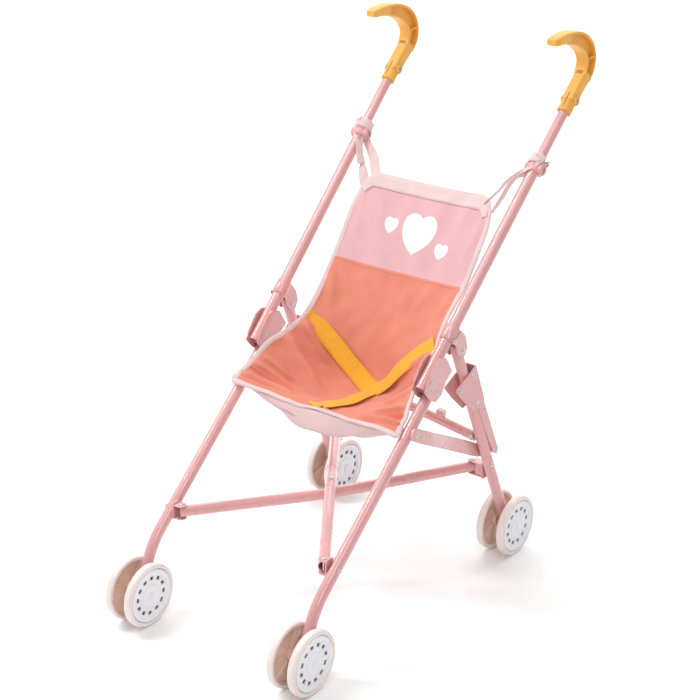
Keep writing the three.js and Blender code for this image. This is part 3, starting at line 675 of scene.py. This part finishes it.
    slope = (REAR_AXLE.x - LEG_PIVOT.x) / (REAR_AXLE.y - LEG_PIVOT.y)
    px, half = LEG_PIVOT.x, LEG_R + 0.5
    cheek = along_leg((0.14, -24.3), (0.12, 14), (0.31, 12.4), (0.31, -7.2), (0.215, -18))
    web = along_leg((0.12, 12.9), (0.12, 14), (0.31, 12.4), (0.31, 11.3))
    tail = along_leg((0.285, 1), (0.285, 12.4), (0.59, 13.6), (0.61, 9), (0.585, 5), (0.45, 2))
    lean = {"slope": slope, "y0": LEG_PIVOT.y}
    make("rear_channel", rear, [
        *cheeks(cheek, px, half, 2.2, **lean),
        (plate(tail, px - half, px + half, 1.2, **lean), PAINT),
        (plate(web, px - half - 0.7, px + half + 0.7, 0.4, **lean), PAINT)],
        "frame_paint", ["rear_bracket"], bevel=0.45)
    rivets = []
    for y, z in ((38.0, 248.4), (19.1, 233.9), (46.9, 211.7)):
        rivets += rivet_pair((px + slope * (y - LEG_PIVOT.y), y, z), half + PRESSED, 2.9)
    make("rear_channel_rivets", rear, rivets, "rivet_steel", [])

    # Side brace: a pressed bar that crosses from the front leg's outer side to the rear leg's inner side.
    thick = 3.6
    axis = BRACE_REAR - BRACE_FRONT
    axis.x = 0
    reach = axis.length
    axis.normalize()
    up = Vector((0, -axis.z, axis.y))
    bx0, bx1 = BRACE_FRONT.x + LEG_R + 0.9, BRACE_REAR.x - LEG_R - 1.4 - thick
    at_front = Vector((0, BRACE_FRONT.y, BRACE_FRONT.z))
    rings = []
    # distance along the bar, half its height and its share of the way over to the inner side
    stops = [(-7, 3.6, 0), (-5.6, 5.6, 0), (-2, 7, 0), (8, 7.3, 0), (30, 7.4, 0), (36, 7.4, 0.06),
             (60, 7.5, 0.45), (90, 7.6, 0.94), (97, 7.6, 1), (reach - 14, 7.5, 1), (reach - 3, 7.2, 1),
             (reach + 3, 5.6, 1), (reach + 5.5, 3.4, 1)]
    for along, half, share in stops:
        c = at_front + X_AXIS * (bx0 + (bx1 - bx0) * share + thick / 2) + axis * along
        rings.append([c + X_AXIS * a + up * b for a, b in rounded_rect(thick / 2, -half, half, 1.3)])
    make("brace_bar", f"{side}_side_brace", [(loft(rings), PAINT)], "frame_paint", ["side_brace"])
    make("brace_rivet", front, [
        pin(BRACE_FRONT - X_AXIS * (LEG_R + 0.4), at_front + X_AXIS * (bx0 + thick + 0.3), 1.8),
        rivet(at_front + X_AXIS * (bx0 + thick), X_AXIS, 3.1),
        rivet(BRACE_FRONT - X_AXIS * (LEG_R - 0.2), -X_AXIS, 3.0)], "rivet_steel", ["brace_pin"])

    for place, axle in (("front", FRONT_AXLE), ("rear", REAR_AXLE)):
        rides = f"{side}_{place}_wheels"
        for name, s in (("outer", 1), ("inner", -1)):
            make(f"{place}_twin_{name}", rides, wheel_shapes(axle + X_AXIS * s * WHEEL_OFFSET, X_AXIS * s),
                 "wheel_plastic", [f"{place}_wheel_{name}"], angle=40)
        rod = tube([axle - X_AXIS * 17.6, axle + X_AXIS * 17.6], 2.0, None, 20)
        make(f"{place}_axle_rod", rides, [(rod, STEEL)], "rivet_steel", [f"{place}_axle"])

    for place, leg_x, y in (("front", FRONT_YOKE_LEG_X, YOKE_FRONT_Y), ("rear", REAR_YOKE_LEG_X, YOKE_REAR_Y)):
        make(f"{place}_yoke_bracket", f"{side}_{place}_yoke", yoke_shapes(leg_x, y), "frame_paint",
             [f"{place}_yoke"], bevel=0.4)


def yoke_shapes(leg_x, y):
    """A base plate on the leg, level ears over and under the bar's end, and the rivet through all three."""
    z, px, ear, ear_r, ear_half = CROSS_Z, leg_x - LEG_R - 1.2, BAR_R + 1.2, 5.6, 0.7
    base = [(y - 6, z - 10), (y + 6, z - 10), (y + 6, z + 10), (y - 6, z + 10)]
    shapes = [(plate(base, px - 0.8, px + 0.8, 3), PAINT)]
    pts = [Vector((YOKE_X + ear_r * math.cos(t), y + ear_r * math.sin(t), 0)) for t in half_turn(16) + math.pi]
    pts += [Vector((px, y - ear_r, 0)), Vector((px, y + ear_r, 0))]
    for level in (z - ear, z + ear):
        shapes.append((loft([[p + Z_AXIS * (level + d) for p in pts] for d in (-ear_half, ear_half)]), PAINT))
    if px - YOKE_X > 12:
        shapes.append((block(Vector((px - 5, y, z)), (10, 9, 2 * ear)), PAINT))
    shapes.append(pin((YOKE_X, y, z - ear - 1), (YOKE_X, y, z + ear + 1), 1.6))
    shapes.append(rivet((YOKE_X, y, z + ear + ear_half), Z_AXIS, 3.1))
    shapes.append(rivet((YOKE_X, y, z - ear - ear_half), -Z_AXIS, 3.0))
    return shapes


# ---- crossed bars, strut
def cross_bar(name, front_sign, rise):
    """A two-part tube from one side's front yoke to the other side's rear one, bent to pass its twin."""
    front = Vector((front_sign * YOKE_X, YOKE_FRONT_Y, CROSS_Z))
    rear = Vector((-front_sign * YOKE_X, YOKE_REAR_Y, CROSS_Z))
    middle = CROSS_MIDDLE + Z_AXIS * rise
    direction = (rear - front).normalized()
    bend = [front - direction * 2, *[front.lerp(middle, t) for t in (0.06, 0.3, 0.6, 0.9)], middle,
            *[middle.lerp(rear, t) for t in (0.1, 0.4, 0.7, 0.94)], rear + direction * 2]
    shapes = [(tube(bend, BAR_R, 1.0, rim=0.3), PAINT)]
    # A near-black disc a little way inside each open end: painted shade of the bore.
    bore = BAR_R - 1.05
    for end, s in ((front, 1), (rear, -1)):
        shade_disc = lathe([(0, 0), (bore, 0), (bore, 1), (0, 1)], end + direction * s * 13, direction * s, 24)
        shapes.append((shade_disc, PAINTED_SHADE))
    # The end of the outer tube, where the inner one comes out of it.
    inside, edge = BAR_R - 0.2, BAR_R + 0.32
    lip = [(inside, -0.7), (edge, -0.7), (BAR_R + 0.4, 0), (edge, 0.7), (inside, 0.7)]
    shapes.append((lathe(lip, middle.lerp(rear, 0.2), (rear - middle).normalized(), 36, True), PAINT))
    return piece(name + "_tube", name, shapes, "frame_paint", [name])


def strut_half(side, sign, y):
    """Half of the rear strut: a flat bar with rounded ends, a rolled rib on either face and its rivet."""
    length, end_r, half = math.hypot(STRUT_X, STRUT_RISE), 5.4, STRUT_T / 2
    ux = Vector((-sign * STRUT_X, 0, STRUT_RISE)).normalized()
    uz = Vector((-ux.z, 0, ux.x)) * (1 if ux.x > 0 else -1)
    origin = Vector((sign * STRUT_X, y, STRUT_Z))
    pts = [(end_r * math.cos(t), end_r * math.sin(t)) for t in half_turn(12) + math.pi]
    pts += [(length + end_r * math.cos(t), end_r * math.sin(t)) for t in half_turn(12)]
    shapes = [(loft([[origin + ux * a + uz * b + Y_AXIS * d for a, b in pts] for d in (-half, half)]), PAINT)]
    for s in (-1, 1):
        rib = [origin + ux * a + Y_AXIS * s * half for a in (14, length - 16)]
        shapes.append((tube(rib, 1.5, None, 16), PAINT))
    facing = Y_AXIS * sign
    shapes.append(rivet(origin + ux * length + facing * 1.4, facing, 3.0))
    body = f"{side}_rear_strut"
    return piece(f"{side}_strut_bar", body, shapes, "frame_paint", [body], bevel=0.4)


for one_side, flip in (("left", False), ("right", True)):
    side_frame(one_side, flip)
cross_bar("cross_bar_lower", -1, -CROSS_RISE)
cross_bar("cross_bar_upper", 1, CROSS_RISE)
head_at = Z_AXIS * 12.6
piece("cross_rivet", "cross_bar_lower", [
    pin(CROSS_MIDDLE - Z_AXIS * 13, CROSS_MIDDLE + Z_AXIS * 13, 1.6),
    rivet(CROSS_MIDDLE + head_at, Z_AXIS, 3.2),
    rivet(CROSS_MIDDLE - head_at, -Z_AXIS, 3.2)], "rivet_steel", ["cross_pin"])
strut_half("left", 1, STRUT_Y + STRUT_T / 2 + STRUT_LAP)
strut_half("right", -1, STRUT_Y + STRUT_T / 2)
low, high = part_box("strut_latch")
latch_at = (low + high) / 2 / MM - Vector((0, SHIFT_Y, 0))
slant = Vector((-STRUT_X, 0, STRUT_RISE)).normalized()
piece("latch_block", "left_rear_strut", [
    (block(latch_at, (9, 7, 8), (slant, Y_AXIS, slant.cross(Y_AXIS))), PAINT),
    rivet(latch_at - Y_AXIS * 3.3, -Y_AXIS, 1.6)], "frame_paint", ["strut_latch"], bevel=0.9, segments=3)


# ---- the sling seat
# Stations down the sling: share of its length, side edge (x, y, z) and middle (y, z).
STATIONS = [
    (0.00, (87.5, 134.3, 407.4), (133.2, 405.6)),
    (0.12, (86.6, 103.0, 366.0), (104.5, 364.0)),
    (0.245, (85.6, 72.1, 324.7), (77.5, 321.5)),
    (0.36, (81.9, 41.0, 297.5), (55.0, 284.0)),
    (0.47, (82.5, 16.6, 275.4), (36.0, 246.5)),
    (0.56, (84.5, -2.0, 266.5), (22.5, 216.5)),
    (0.63, (88.0, -18.0, 261.0), (8.0, 205.5)),
    (0.73, (94.3, -36.9, 254.0), (-18.0, 203.0)),
    (0.86, (101.0, -58.0, 235.5), (-47.0, 206.5)),
    (1.00, (105.0, -77.5, 217.6), (-77.0, 216.0)),
]


def station(v):
    """Side edge and middle of the sling at v, on smooth curves through the stations."""
    vs = [s[0] for s in STATIONS]
    i = min(max(int(np.searchsorted(vs, v)) - 1, 0), len(vs) - 2)
    t = (v - vs[i]) / (vs[i + 1] - vs[i])

    def at(j):
        j = min(max(j, 0), len(STATIONS) - 1)
        return np.array([*STATIONS[j][1], *STATIONS[j][2]])

    p1, p2 = at(i), at(i + 1)
    d = vs[i + 1] - vs[i]
    m1 = (p2 - at(i - 1)) / (vs[i + 1] - vs[max(i - 1, 0)]) * d
    m2 = (at(i + 2) - p1) / (vs[min(i + 2, len(vs) - 1)] - vs[i]) * d
    tt, ttt = t**2, t**3
    return p1 * (2 * ttt - 3 * tt + 1) + m1 * (ttt - 2 * tt + t) + p2 * (3 * tt - 2 * ttt) + m2 * (ttt - tt)


# How far the left edge stands out further than the right one, in millimetres, along the sling.
NEAR_V = (0.28, 0.40, 0.50, 0.58, 0.68, 0.78, 0.90, 1.0)
NEAR_OUT = (0.0, 4.5, 7.5, 7.5, 5.5, 2.5, 0.5, 0.0)


def sling(u, v):
    """The sling's smooth middle surface at u across, from -1 to 1, and v down it, from 0 to 1."""
    e = station(v)
    w = abs(u) ** 2.1
    y, z = e[3] * (1 - w) + e[1] * w, e[4] * (1 - w) + e[2] * w
    reach = 6.0 * min(1.0, max(0.0, (v - 0.84) / 0.12)) * max(0.0, -u) ** 6
    near = min(1.0, max(0.0, (v - 0.60) / 0.16)) * max(0.0, u) ** 4
    out = max(0.0, u) ** 4 * float(np.interp(v, NEAR_V, NEAR_OUT))
    return Vector((e[0] * u - reach + out, y, z - near * (10 - 6 * max(0.0, (v - 0.9) / 0.1))))


def sling_normal(u, v):
    h = 0.004
    a = sling(min(u + h, 1), v) - sling(max(u - h, -1), v)
    b = sling(u, min(v + h, 1)) - sling(u, max(v - h, 0))
    return b.cross(a).normalized()


def inner_normal(u, v):
    """The normal a little in from the edge, where it is steady."""
    return sling_normal(min(max(u, -0.985), 0.985), min(max(v, 0.01), 0.99))


# Creases: ends as (u, v), half width in millimetres, height in millimetres.
CREASES = [
    (-0.98, 0.27, -0.80, 0.40, 5.0, 1.5), (-0.90, 0.25, -0.62, 0.33, 5.5, 1.0),
    (-0.99, 0.52, -0.55, 0.60, 5.5, 2.6), (-0.97, 0.47, -0.62, 0.50, 5.0, -1.8),
    (-0.99, 0.62, -0.40, 0.74, 6.5, 2.2), (-0.96, 0.93, -0.30, 0.955, 4.6, 2.6),
    (-0.98, 0.88, -0.42, 0.90, 4.4, -1.9), (-0.97, 0.84, -0.50, 0.86, 4.8, 2.0),
    (-0.94, 0.79, -0.62, 0.80, 4.6, 1.6), (-0.70, 0.975, 0.10, 0.965, 4.0, 1.4),
    (0.99, 0.50, 0.52, 0.60, 6.0, 2.2), (0.99, 0.60, 0.45, 0.68, 6.0, -1.6),
    (0.98, 0.90, 0.45, 0.945, 4.6, 2.8), (0.97, 0.85, 0.40, 0.90, 4.8, -2.0),
    (0.97, 0.80, 0.55, 0.83, 4.8, 1.8), (0.95, 0.70, 0.60, 0.76, 5.0, 1.4),
    (0.60, 0.25, 0.42, 0.34, 6.0, 0.9), (0.20, 0.25, 0.26, 0.38, 7.0, 0.8),
    (-0.25, 0.25, -0.18, 0.35, 7.0, 0.7), (0.93, 0.26, 0.80, 0.36, 5.0, 1.1),
    (-0.62, 0.02, -0.52, 0.13, 6.0, 0.8), (-0.20, 0.02, -0.16, 0.10, 6.0, 0.7),
    (0.28, 0.02, 0.24, 0.12, 6.0, 0.8), (0.66, 0.02, 0.56, 0.12, 6.0, 0.8),
    (-0.93, 0.03, -0.80, 0.20, 6.0, 1.0), (0.93, 0.03, 0.82, 0.20, 6.0, 1.0),
]
SLING_LENGTH, SLING_HALF = 372.0, 86.0


def wrinkle(u, v):
    """How far the cloth stands off its smooth shape, in millimetres."""
    p = Vector((u * SLING_HALF, v * SLING_LENGTH, 0))
    h = 0.0
    for u0, v0, u1, v1, width, height in CREASES:
        a, b = Vector((u0 * SLING_HALF, v0 * SLING_LENGTH, 0)), Vector((u1 * SLING_HALF, v1 * SLING_LENGTH, 0))
        ab = b - a
        t = (p - a).dot(ab) / ab.length_squared
        if -0.3 < t < 1.3:
            wobble = noise.noise(Vector((p.x * 0.03, p.y * 0.03, height))) * 4
            off = ((p - a) - ab * t).length + wobble
            fade = math.exp(-((max(0.0, abs(t - 0.45) - 0.3) / 0.28) ** 2))
            h += (1.8 if v < 0.45 else 3.0) * height * math.exp(-((off / width) ** 2)) * fade
    seat = min(1.0, max(0.0, (v - 0.22) / 0.2))
    h += noise.noise(Vector((p.x * 0.022, p.y * 0.016, 3.1))) * (1.2 + 2.0 * seat)
    h += noise.noise(Vector((p.x * 0.06 + p.y * 0.02, p.y * 0.035, 9.7))) * (0.6 + 1.0 * seat)
    edge = min(1.0, (1 - abs(u)) / 0.06) * min(1.0, v / 0.03 if v < 0.5 else (1 - v) / 0.02 + 0.35)
    return h * (0.25 + 0.75 * edge)


def cloth(u, v, off=0.0):
    return sling(u, v) + sling_normal(u, v) * (wrinkle(u, v) + off)


def corner(u, v):
    """Rounds the sling's two top corners by pulling the outermost points in."""
    r = 0.11
    if v < r and abs(u) > 1 - r * 2:
        a, b = (abs(u) - (1 - 2 * r)) / (2 * r), 1 - v / r
        k = math.hypot(a, b)
        if k > 1e-6:
            s = max(a, b) / k
            a, b = a * s, b * s
        return math.copysign(1 - 2 * r + a * 2 * r, u), (1 - b) * r
    return u, v


def flat_uvs(mesh, uv_of):
    """UVs in metres on the flat cloth, from each vertex's number."""
    layer = mesh.uv_layers.new(name="flat")
    for loop in mesh.loops:
        layer.data[loop.index].uv = uv_of(loop.vertex_index)


def sheet(name, v0, v1, nu, nv, point, mat, thick, nodes=()):
    """A grid of cloth given its thickness; its UVs start from the middle of the sling's top edge."""
    mesh = bpy.data.meshes.new(name)
    grid = [corner(u, v) for v in np.linspace(v0, v1, nv) for u in np.linspace(-1, 1, nu)]
    faces = [(k, k + 1, k + nu + 1, k + nu) for i in range(nv - 1) for k in range(i * nu, (i + 1) * nu - 1)]
    mesh.from_pydata([put(point(u, v)) for u, v in grid], [], faces)
    flat_uvs(mesh, lambda k: (grid[k][0] * SLING_HALF * MM, -grid[k][1] * SLING_LENGTH * MM))
    mesh.materials.append(mat)
    obj = dress(name, mesh, "right_frame", nodes, angle=180)
    mod = obj.modifiers.new("cloth", "SOLIDIFY")
    mod.thickness = thick * MM
    mod.offset = 0
    mod.use_even_offset = False
    return obj


def upper_point(u, v):
    return cloth(u, v, 0.5)


def lower_point(u, v):
    return cloth(u, v, 1.0 if v < SEAM_V + 0.02 else 0.7)


def lining_point(u, v):
    """The pale second layer: close behind the back rest, sagging below the seat, turned up to the hem."""
    under = min(1.0, max(0.0, (v - 0.55) / 0.39))
    turn_up = min(1.0, max(0.0, (1 - v) / 0.06))
    p = cloth(u, v, -1.9)
    down = -16 * under**1.2 * (1 - abs(u) ** 3) - 1.2 * under
    return p + Vector((0, -17 * under**6 * (1 - u * u) ** 2, down)) * math.sin(math.pi / 2 * turn_up)


SEAM_V = 0.245
CLOTH_T = 0.7
upper = sheet("sling_upper", 0.0, SEAM_V + 0.012, 73, 42, upper_point, PRINT, CLOTH_T, ["seat_upper_panel"])
lower = sheet("sling_lower", SEAM_V, 1.0, 73, 112, lower_point, CORAL, CLOTH_T, ["seat_lower_panel"])
lining = sheet("sling_lining", 0.0, 1.0, 61, 141, lining_point, LINING, CLOTH_T)


def taped(name, line, normals, width, thick, mat, slot="cloth_pale", body="right_frame"):
    """A flat tape lying along a line; its UVs are metres along the tape in Y and across it in X."""
    n = 12
    rings, run = [], [0.0]
    for i, p in enumerate(line):
        t = (line[min(i + 1, len(line) - 1)] - line[max(i - 1, 0)]).normalized()
        up = (normals[i] - t * normals[i].dot(t)).normalized()
        across = t.cross(up)
        ring = []
        for k in range(n):
            cx, cy = math.cos(2 * math.pi * k / n), math.sin(2 * math.pi * k / n)
            x, y = math.copysign(abs(cx) ** 0.45, cx), math.copysign(abs(cy) ** 0.7, cy)
            ring.append(p + across * x * width / 2 + up * y * thick / 2)
        rings.append(ring)
        run.append(run[-1] + ((line[i + 1] - p).length * MM if i + 1 < len(line) else 0.0))
    verts, faces = loft(rings)
    mesh = bpy.data.meshes.new(name)
    mesh.from_pydata([put(p) for p in verts], [], faces)
    flat_uvs(mesh, lambda k: (math.cos(2 * math.pi * (k % n) / n) * width / 2 * MM, run[k // n]))
    mesh.materials.append(mat)
    return dress(name, mesh, body, angle=60)


def edge_line(pairs):
    """A line on the cloth's edge through (u, v) pairs, with the cloth's normal along it."""
    line, normals = [], []
    for u, v in pairs:
        cu, cv = corner(u, v)
        line.append(cloth(cu, cv, 0.2))
        normals.append(inner_normal(cu, cv))
    return line, normals


# Binding: one tape all the way round the sling's edge, a wider one on its top and one on its front hem.
edge = [(1.0, v) for v in np.linspace(1.0, 0.02, 90)]
edge += [(u, 0.0) for u in np.linspace(1.0, -1.0, 70)]
edge += [(-1.0, v) for v in np.linspace(0.02, 1.0, 90)]
binding = taped("binding_side", *edge_line(edge), 6.4, 3.0, TAPE)
top_band = sheet("binding_top", 0.0, 0.034, 97, 10, lambda u, v: cloth(u, v, 1.5), TAPE, 0.9)
hem = taped("binding_front", *edge_line([(u, 0.992) for u in np.linspace(-1.0, 1.0, 80)]), 6.2, 3.4, TAPE)


def resample(pts, step):
    """Points a step apart along a line."""
    out, rest = [pts[0]], 0.0
    for a, b in zip(pts, pts[1:]):
        d = (b - a).length
        t = step - rest
        while t <= d:
            out.append(a.lerp(b, t / d))
            t += step
        rest = d - (t - step)
    out.append(pts[-1])
    return out


def stitches(name, v, reach, off, mat):
    """A row of stitches across the cloth at v, 3 mm long with 1 mm between them."""
    line = resample([cloth(u, v, off) for u in np.linspace(-reach, reach, 50)], 1.0)
    shapes = []
    for i in range(0, len(line) - 4, 4):
        a, b = line[i], line[i + 3]
        shapes.append((tube([a, a.lerp(b, 0.5) + Vector((0, -0.12, 0.15)), b], 0.3, None, 6, 0.12), mat))
    return piece(name, "right_frame", shapes, "cloth_pale")


seam = stitches("seam_stitching", SEAM_V + 0.008, 0.96, 1.5, THREAD_CORAL)
top_row = stitches("top_stitching", 0.030, 0.86, 2.1, THREAD)


# ---- harness
def strap(name, points, low, high, node, lean=None):
    """Webbing over the cloth through (u, v) points, low above it at its ends and high more in its middle."""
    pts = smooth_line(points, 60 // (len(points) - 1))
    line, normals = [], []
    for i, (u, v) in enumerate(pts):
        u = min(max(u, -1.0), 1.0)
        normal = inner_normal(u, v)
        lift = low + high * math.sin(math.pi * i / (len(pts) - 1))
        line.append(sling(u, v) + normal * (wrinkle(u, v) * 0.6 + lift))
        normals.append((0.45 * normal + 0.55 * lean).normalized() if lean else normal)
    obj = taped(name, line, normals, 20.0, 1.3, WEBBING, "webbing")
    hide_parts(node)
    return obj


far = [(-0.99, 0.475), (-0.58, 0.515), (-0.16, 0.565), (0.13, 0.615)]
near = [(0.99, 0.455), (0.72, 0.525), (0.45, 0.58), (0.15, 0.615)]
crotch = [(0.17, 0.595), (0.12, 0.67), (0.02, 0.84), (-0.05, 0.985)]
straps = [
    strap("harness_far", far, 1.6, 3.5, "harness_right"),
    strap("harness_near", near, 3.0, 6.0, "harness_left", Vector((0.1, -0.6, 0.79))),
    strap("harness_middle", crotch, 2.6, 2.0, "harness_crotch"),
]


# ---- loops from the seat's top corners to the clamps
LOOP_R = 9.6
# side, sign of x, the two runs' sag and the way the tape faces where it hangs free
LOOPS = [
    ("left", 1, (-4, 0, 7), (-3, -1, 5), (-0.8, 0, 0.6)),
    ("right", -1, (5, 2.5, -1.5), (0, -3, -1), (0.2, -0.7, 0.7)),
]
for side, sign, in_sag, out_sag, facing in LOOPS:
    pole = on_stick(MAIN_LENGTH - 5)
    pole.x *= sign
    low_in, low_out = Vector((sign * 72, 131.0, 401)), Vector((sign * 84, 127.0, 394))
    ring = []
    for a in np.linspace(math.radians(150), math.radians(-120), 18):
        ring.append(pole - X_AXIS * sign * math.cos(a) * LOOP_R + REARWARD * math.sin(a) * LOOP_R)
    sag_in = (low_in + ring[0]) / 2 + Vector(in_sag)
    sag_out = (low_out + ring[-1]) / 2 + Vector(out_sag)
    pts = [low_in, low_in.lerp(sag_in, 0.5) + Vector((0, 1.5, 0)), sag_in, *ring, sag_out,
           low_out.lerp(sag_out, 0.5), low_out]
    curve = [Vector(p) for p in smooth_line(pts, 4)]
    flat = Vector(facing).normalized()
    normals = []
    for p in curve:
        away = p - pole
        away -= STICK * away.dot(STICK)
        free = min(1.0, max(0.0, (away.length - 9) / 22))
        towards = flat if away.dot(flat) > 0 else -flat
        normals.append((away.normalized() * (1 - free) + towards * free).normalized())
    loop = taped(f"{side}_corner_loop", curve, normals, 11.5, 1.5, TAPE, body=f"{side}_frame")
    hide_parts(f"strap_loop_{side}")

# The fabric, stitching and straps each get a mesh of their own.
for obj in [upper, lower, lining, binding, top_band, hem, seam, top_row, *straps]:
    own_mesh(obj)

# ---- set: floor, light and camera
FLOOR_TURN = math.radians(36.6)
SWEEP_R, BACK = 0.9, 2.6
rows = [(-4.0, 0.0), (BACK, 0.0)]
for a in np.linspace(0.15, math.pi / 2, 12):
    rows.append((BACK + SWEEP_R * math.sin(a), SWEEP_R * (1 - math.cos(a))))
rows += [(BACK + SWEEP_R, 5.0)]
floor_mesh = bpy.data.meshes.new("floor")
floor_mesh.from_pydata([(x, y, z) for y, z in rows for x in (-6.0, 6.0)], [],
                       [(2 * i, 2 * i + 1, 2 * i + 3, 2 * i + 2) for i in range(len(rows) - 1)])
floor_mesh.shade_smooth()
floor = new_object("floor", floor_mesh)
floor.rotation_euler = (0, 0, FLOOR_TURN)
paper = Net("floor_paper", (0.97, 0.97, 0.97), 0.7)
paper.feed("Base Color", paper.ramp(paper.noise(60, 4), (0.3, 0.96), (0.7, 0.98)))
floor_mesh.materials.append(paper.material)

world = bpy.data.worlds.new("studio")
bpy.context.scene.world = world
world.use_nodes = True
world.node_tree.nodes["Background"].inputs["Color"].default_value = (1, 1, 1, 1)
world.node_tree.nodes["Background"].inputs["Strength"].default_value = 0.46

# name, place, what it looks at, size and power of each light
for name, place, target, size, power in (
    ("key", (1.5, -1.5, 2.0), (0, 0, 0.3), (0.4, 1.3), 13),
    ("strip", (-1.2, -0.75, 2.2), (0, 0, 0.3), (0.12, 1.3), 26),
    ("fill", (-1.9, -1.6, 1.0), (0, 0, 0.3), (0.5, 1.4), 4.5),
    ("rim", (0.6, 1.9, 1.9), (0, 0, 0.35), (0.9, 0.9), 8),
    ("top", (0.3, -0.4, 2.4), (0, 0, 0.2), (0.3, 1.2), 7),
    ("paper", (-1.2, 1.6, 2.6), (-1.9, 2.8, 0.6), (2.5, 1.5), 75),
):
    data = bpy.data.lights.new(name, "AREA")
    data.shape = "RECTANGLE"
    data.size, data.size_y = size
    data.energy = power
    light = new_object(name, data)
    light.location = place
    light.rotation_euler = (Vector(target) - Vector(place)).to_track_quat("-Z", "Y").to_euler()

cam_data = bpy.data.cameras.new("camera")
cam_data.sensor_width = 36
cam_data.lens = 90.08
cam_data.clip_start = 0.05
cam_data.clip_end = 30
cam = new_object("camera", cam_data)
cam.location = put((1026.26, -1394.62, 996.98))
look = put((151.25, -217.74, 370.01)) - cam.location
cam.rotation_euler = look.to_track_quat("-Z", "Y").to_euler()
bpy.context.scene.camera = cam
bpy.context.scene.view_settings.view_transform = "Standard"
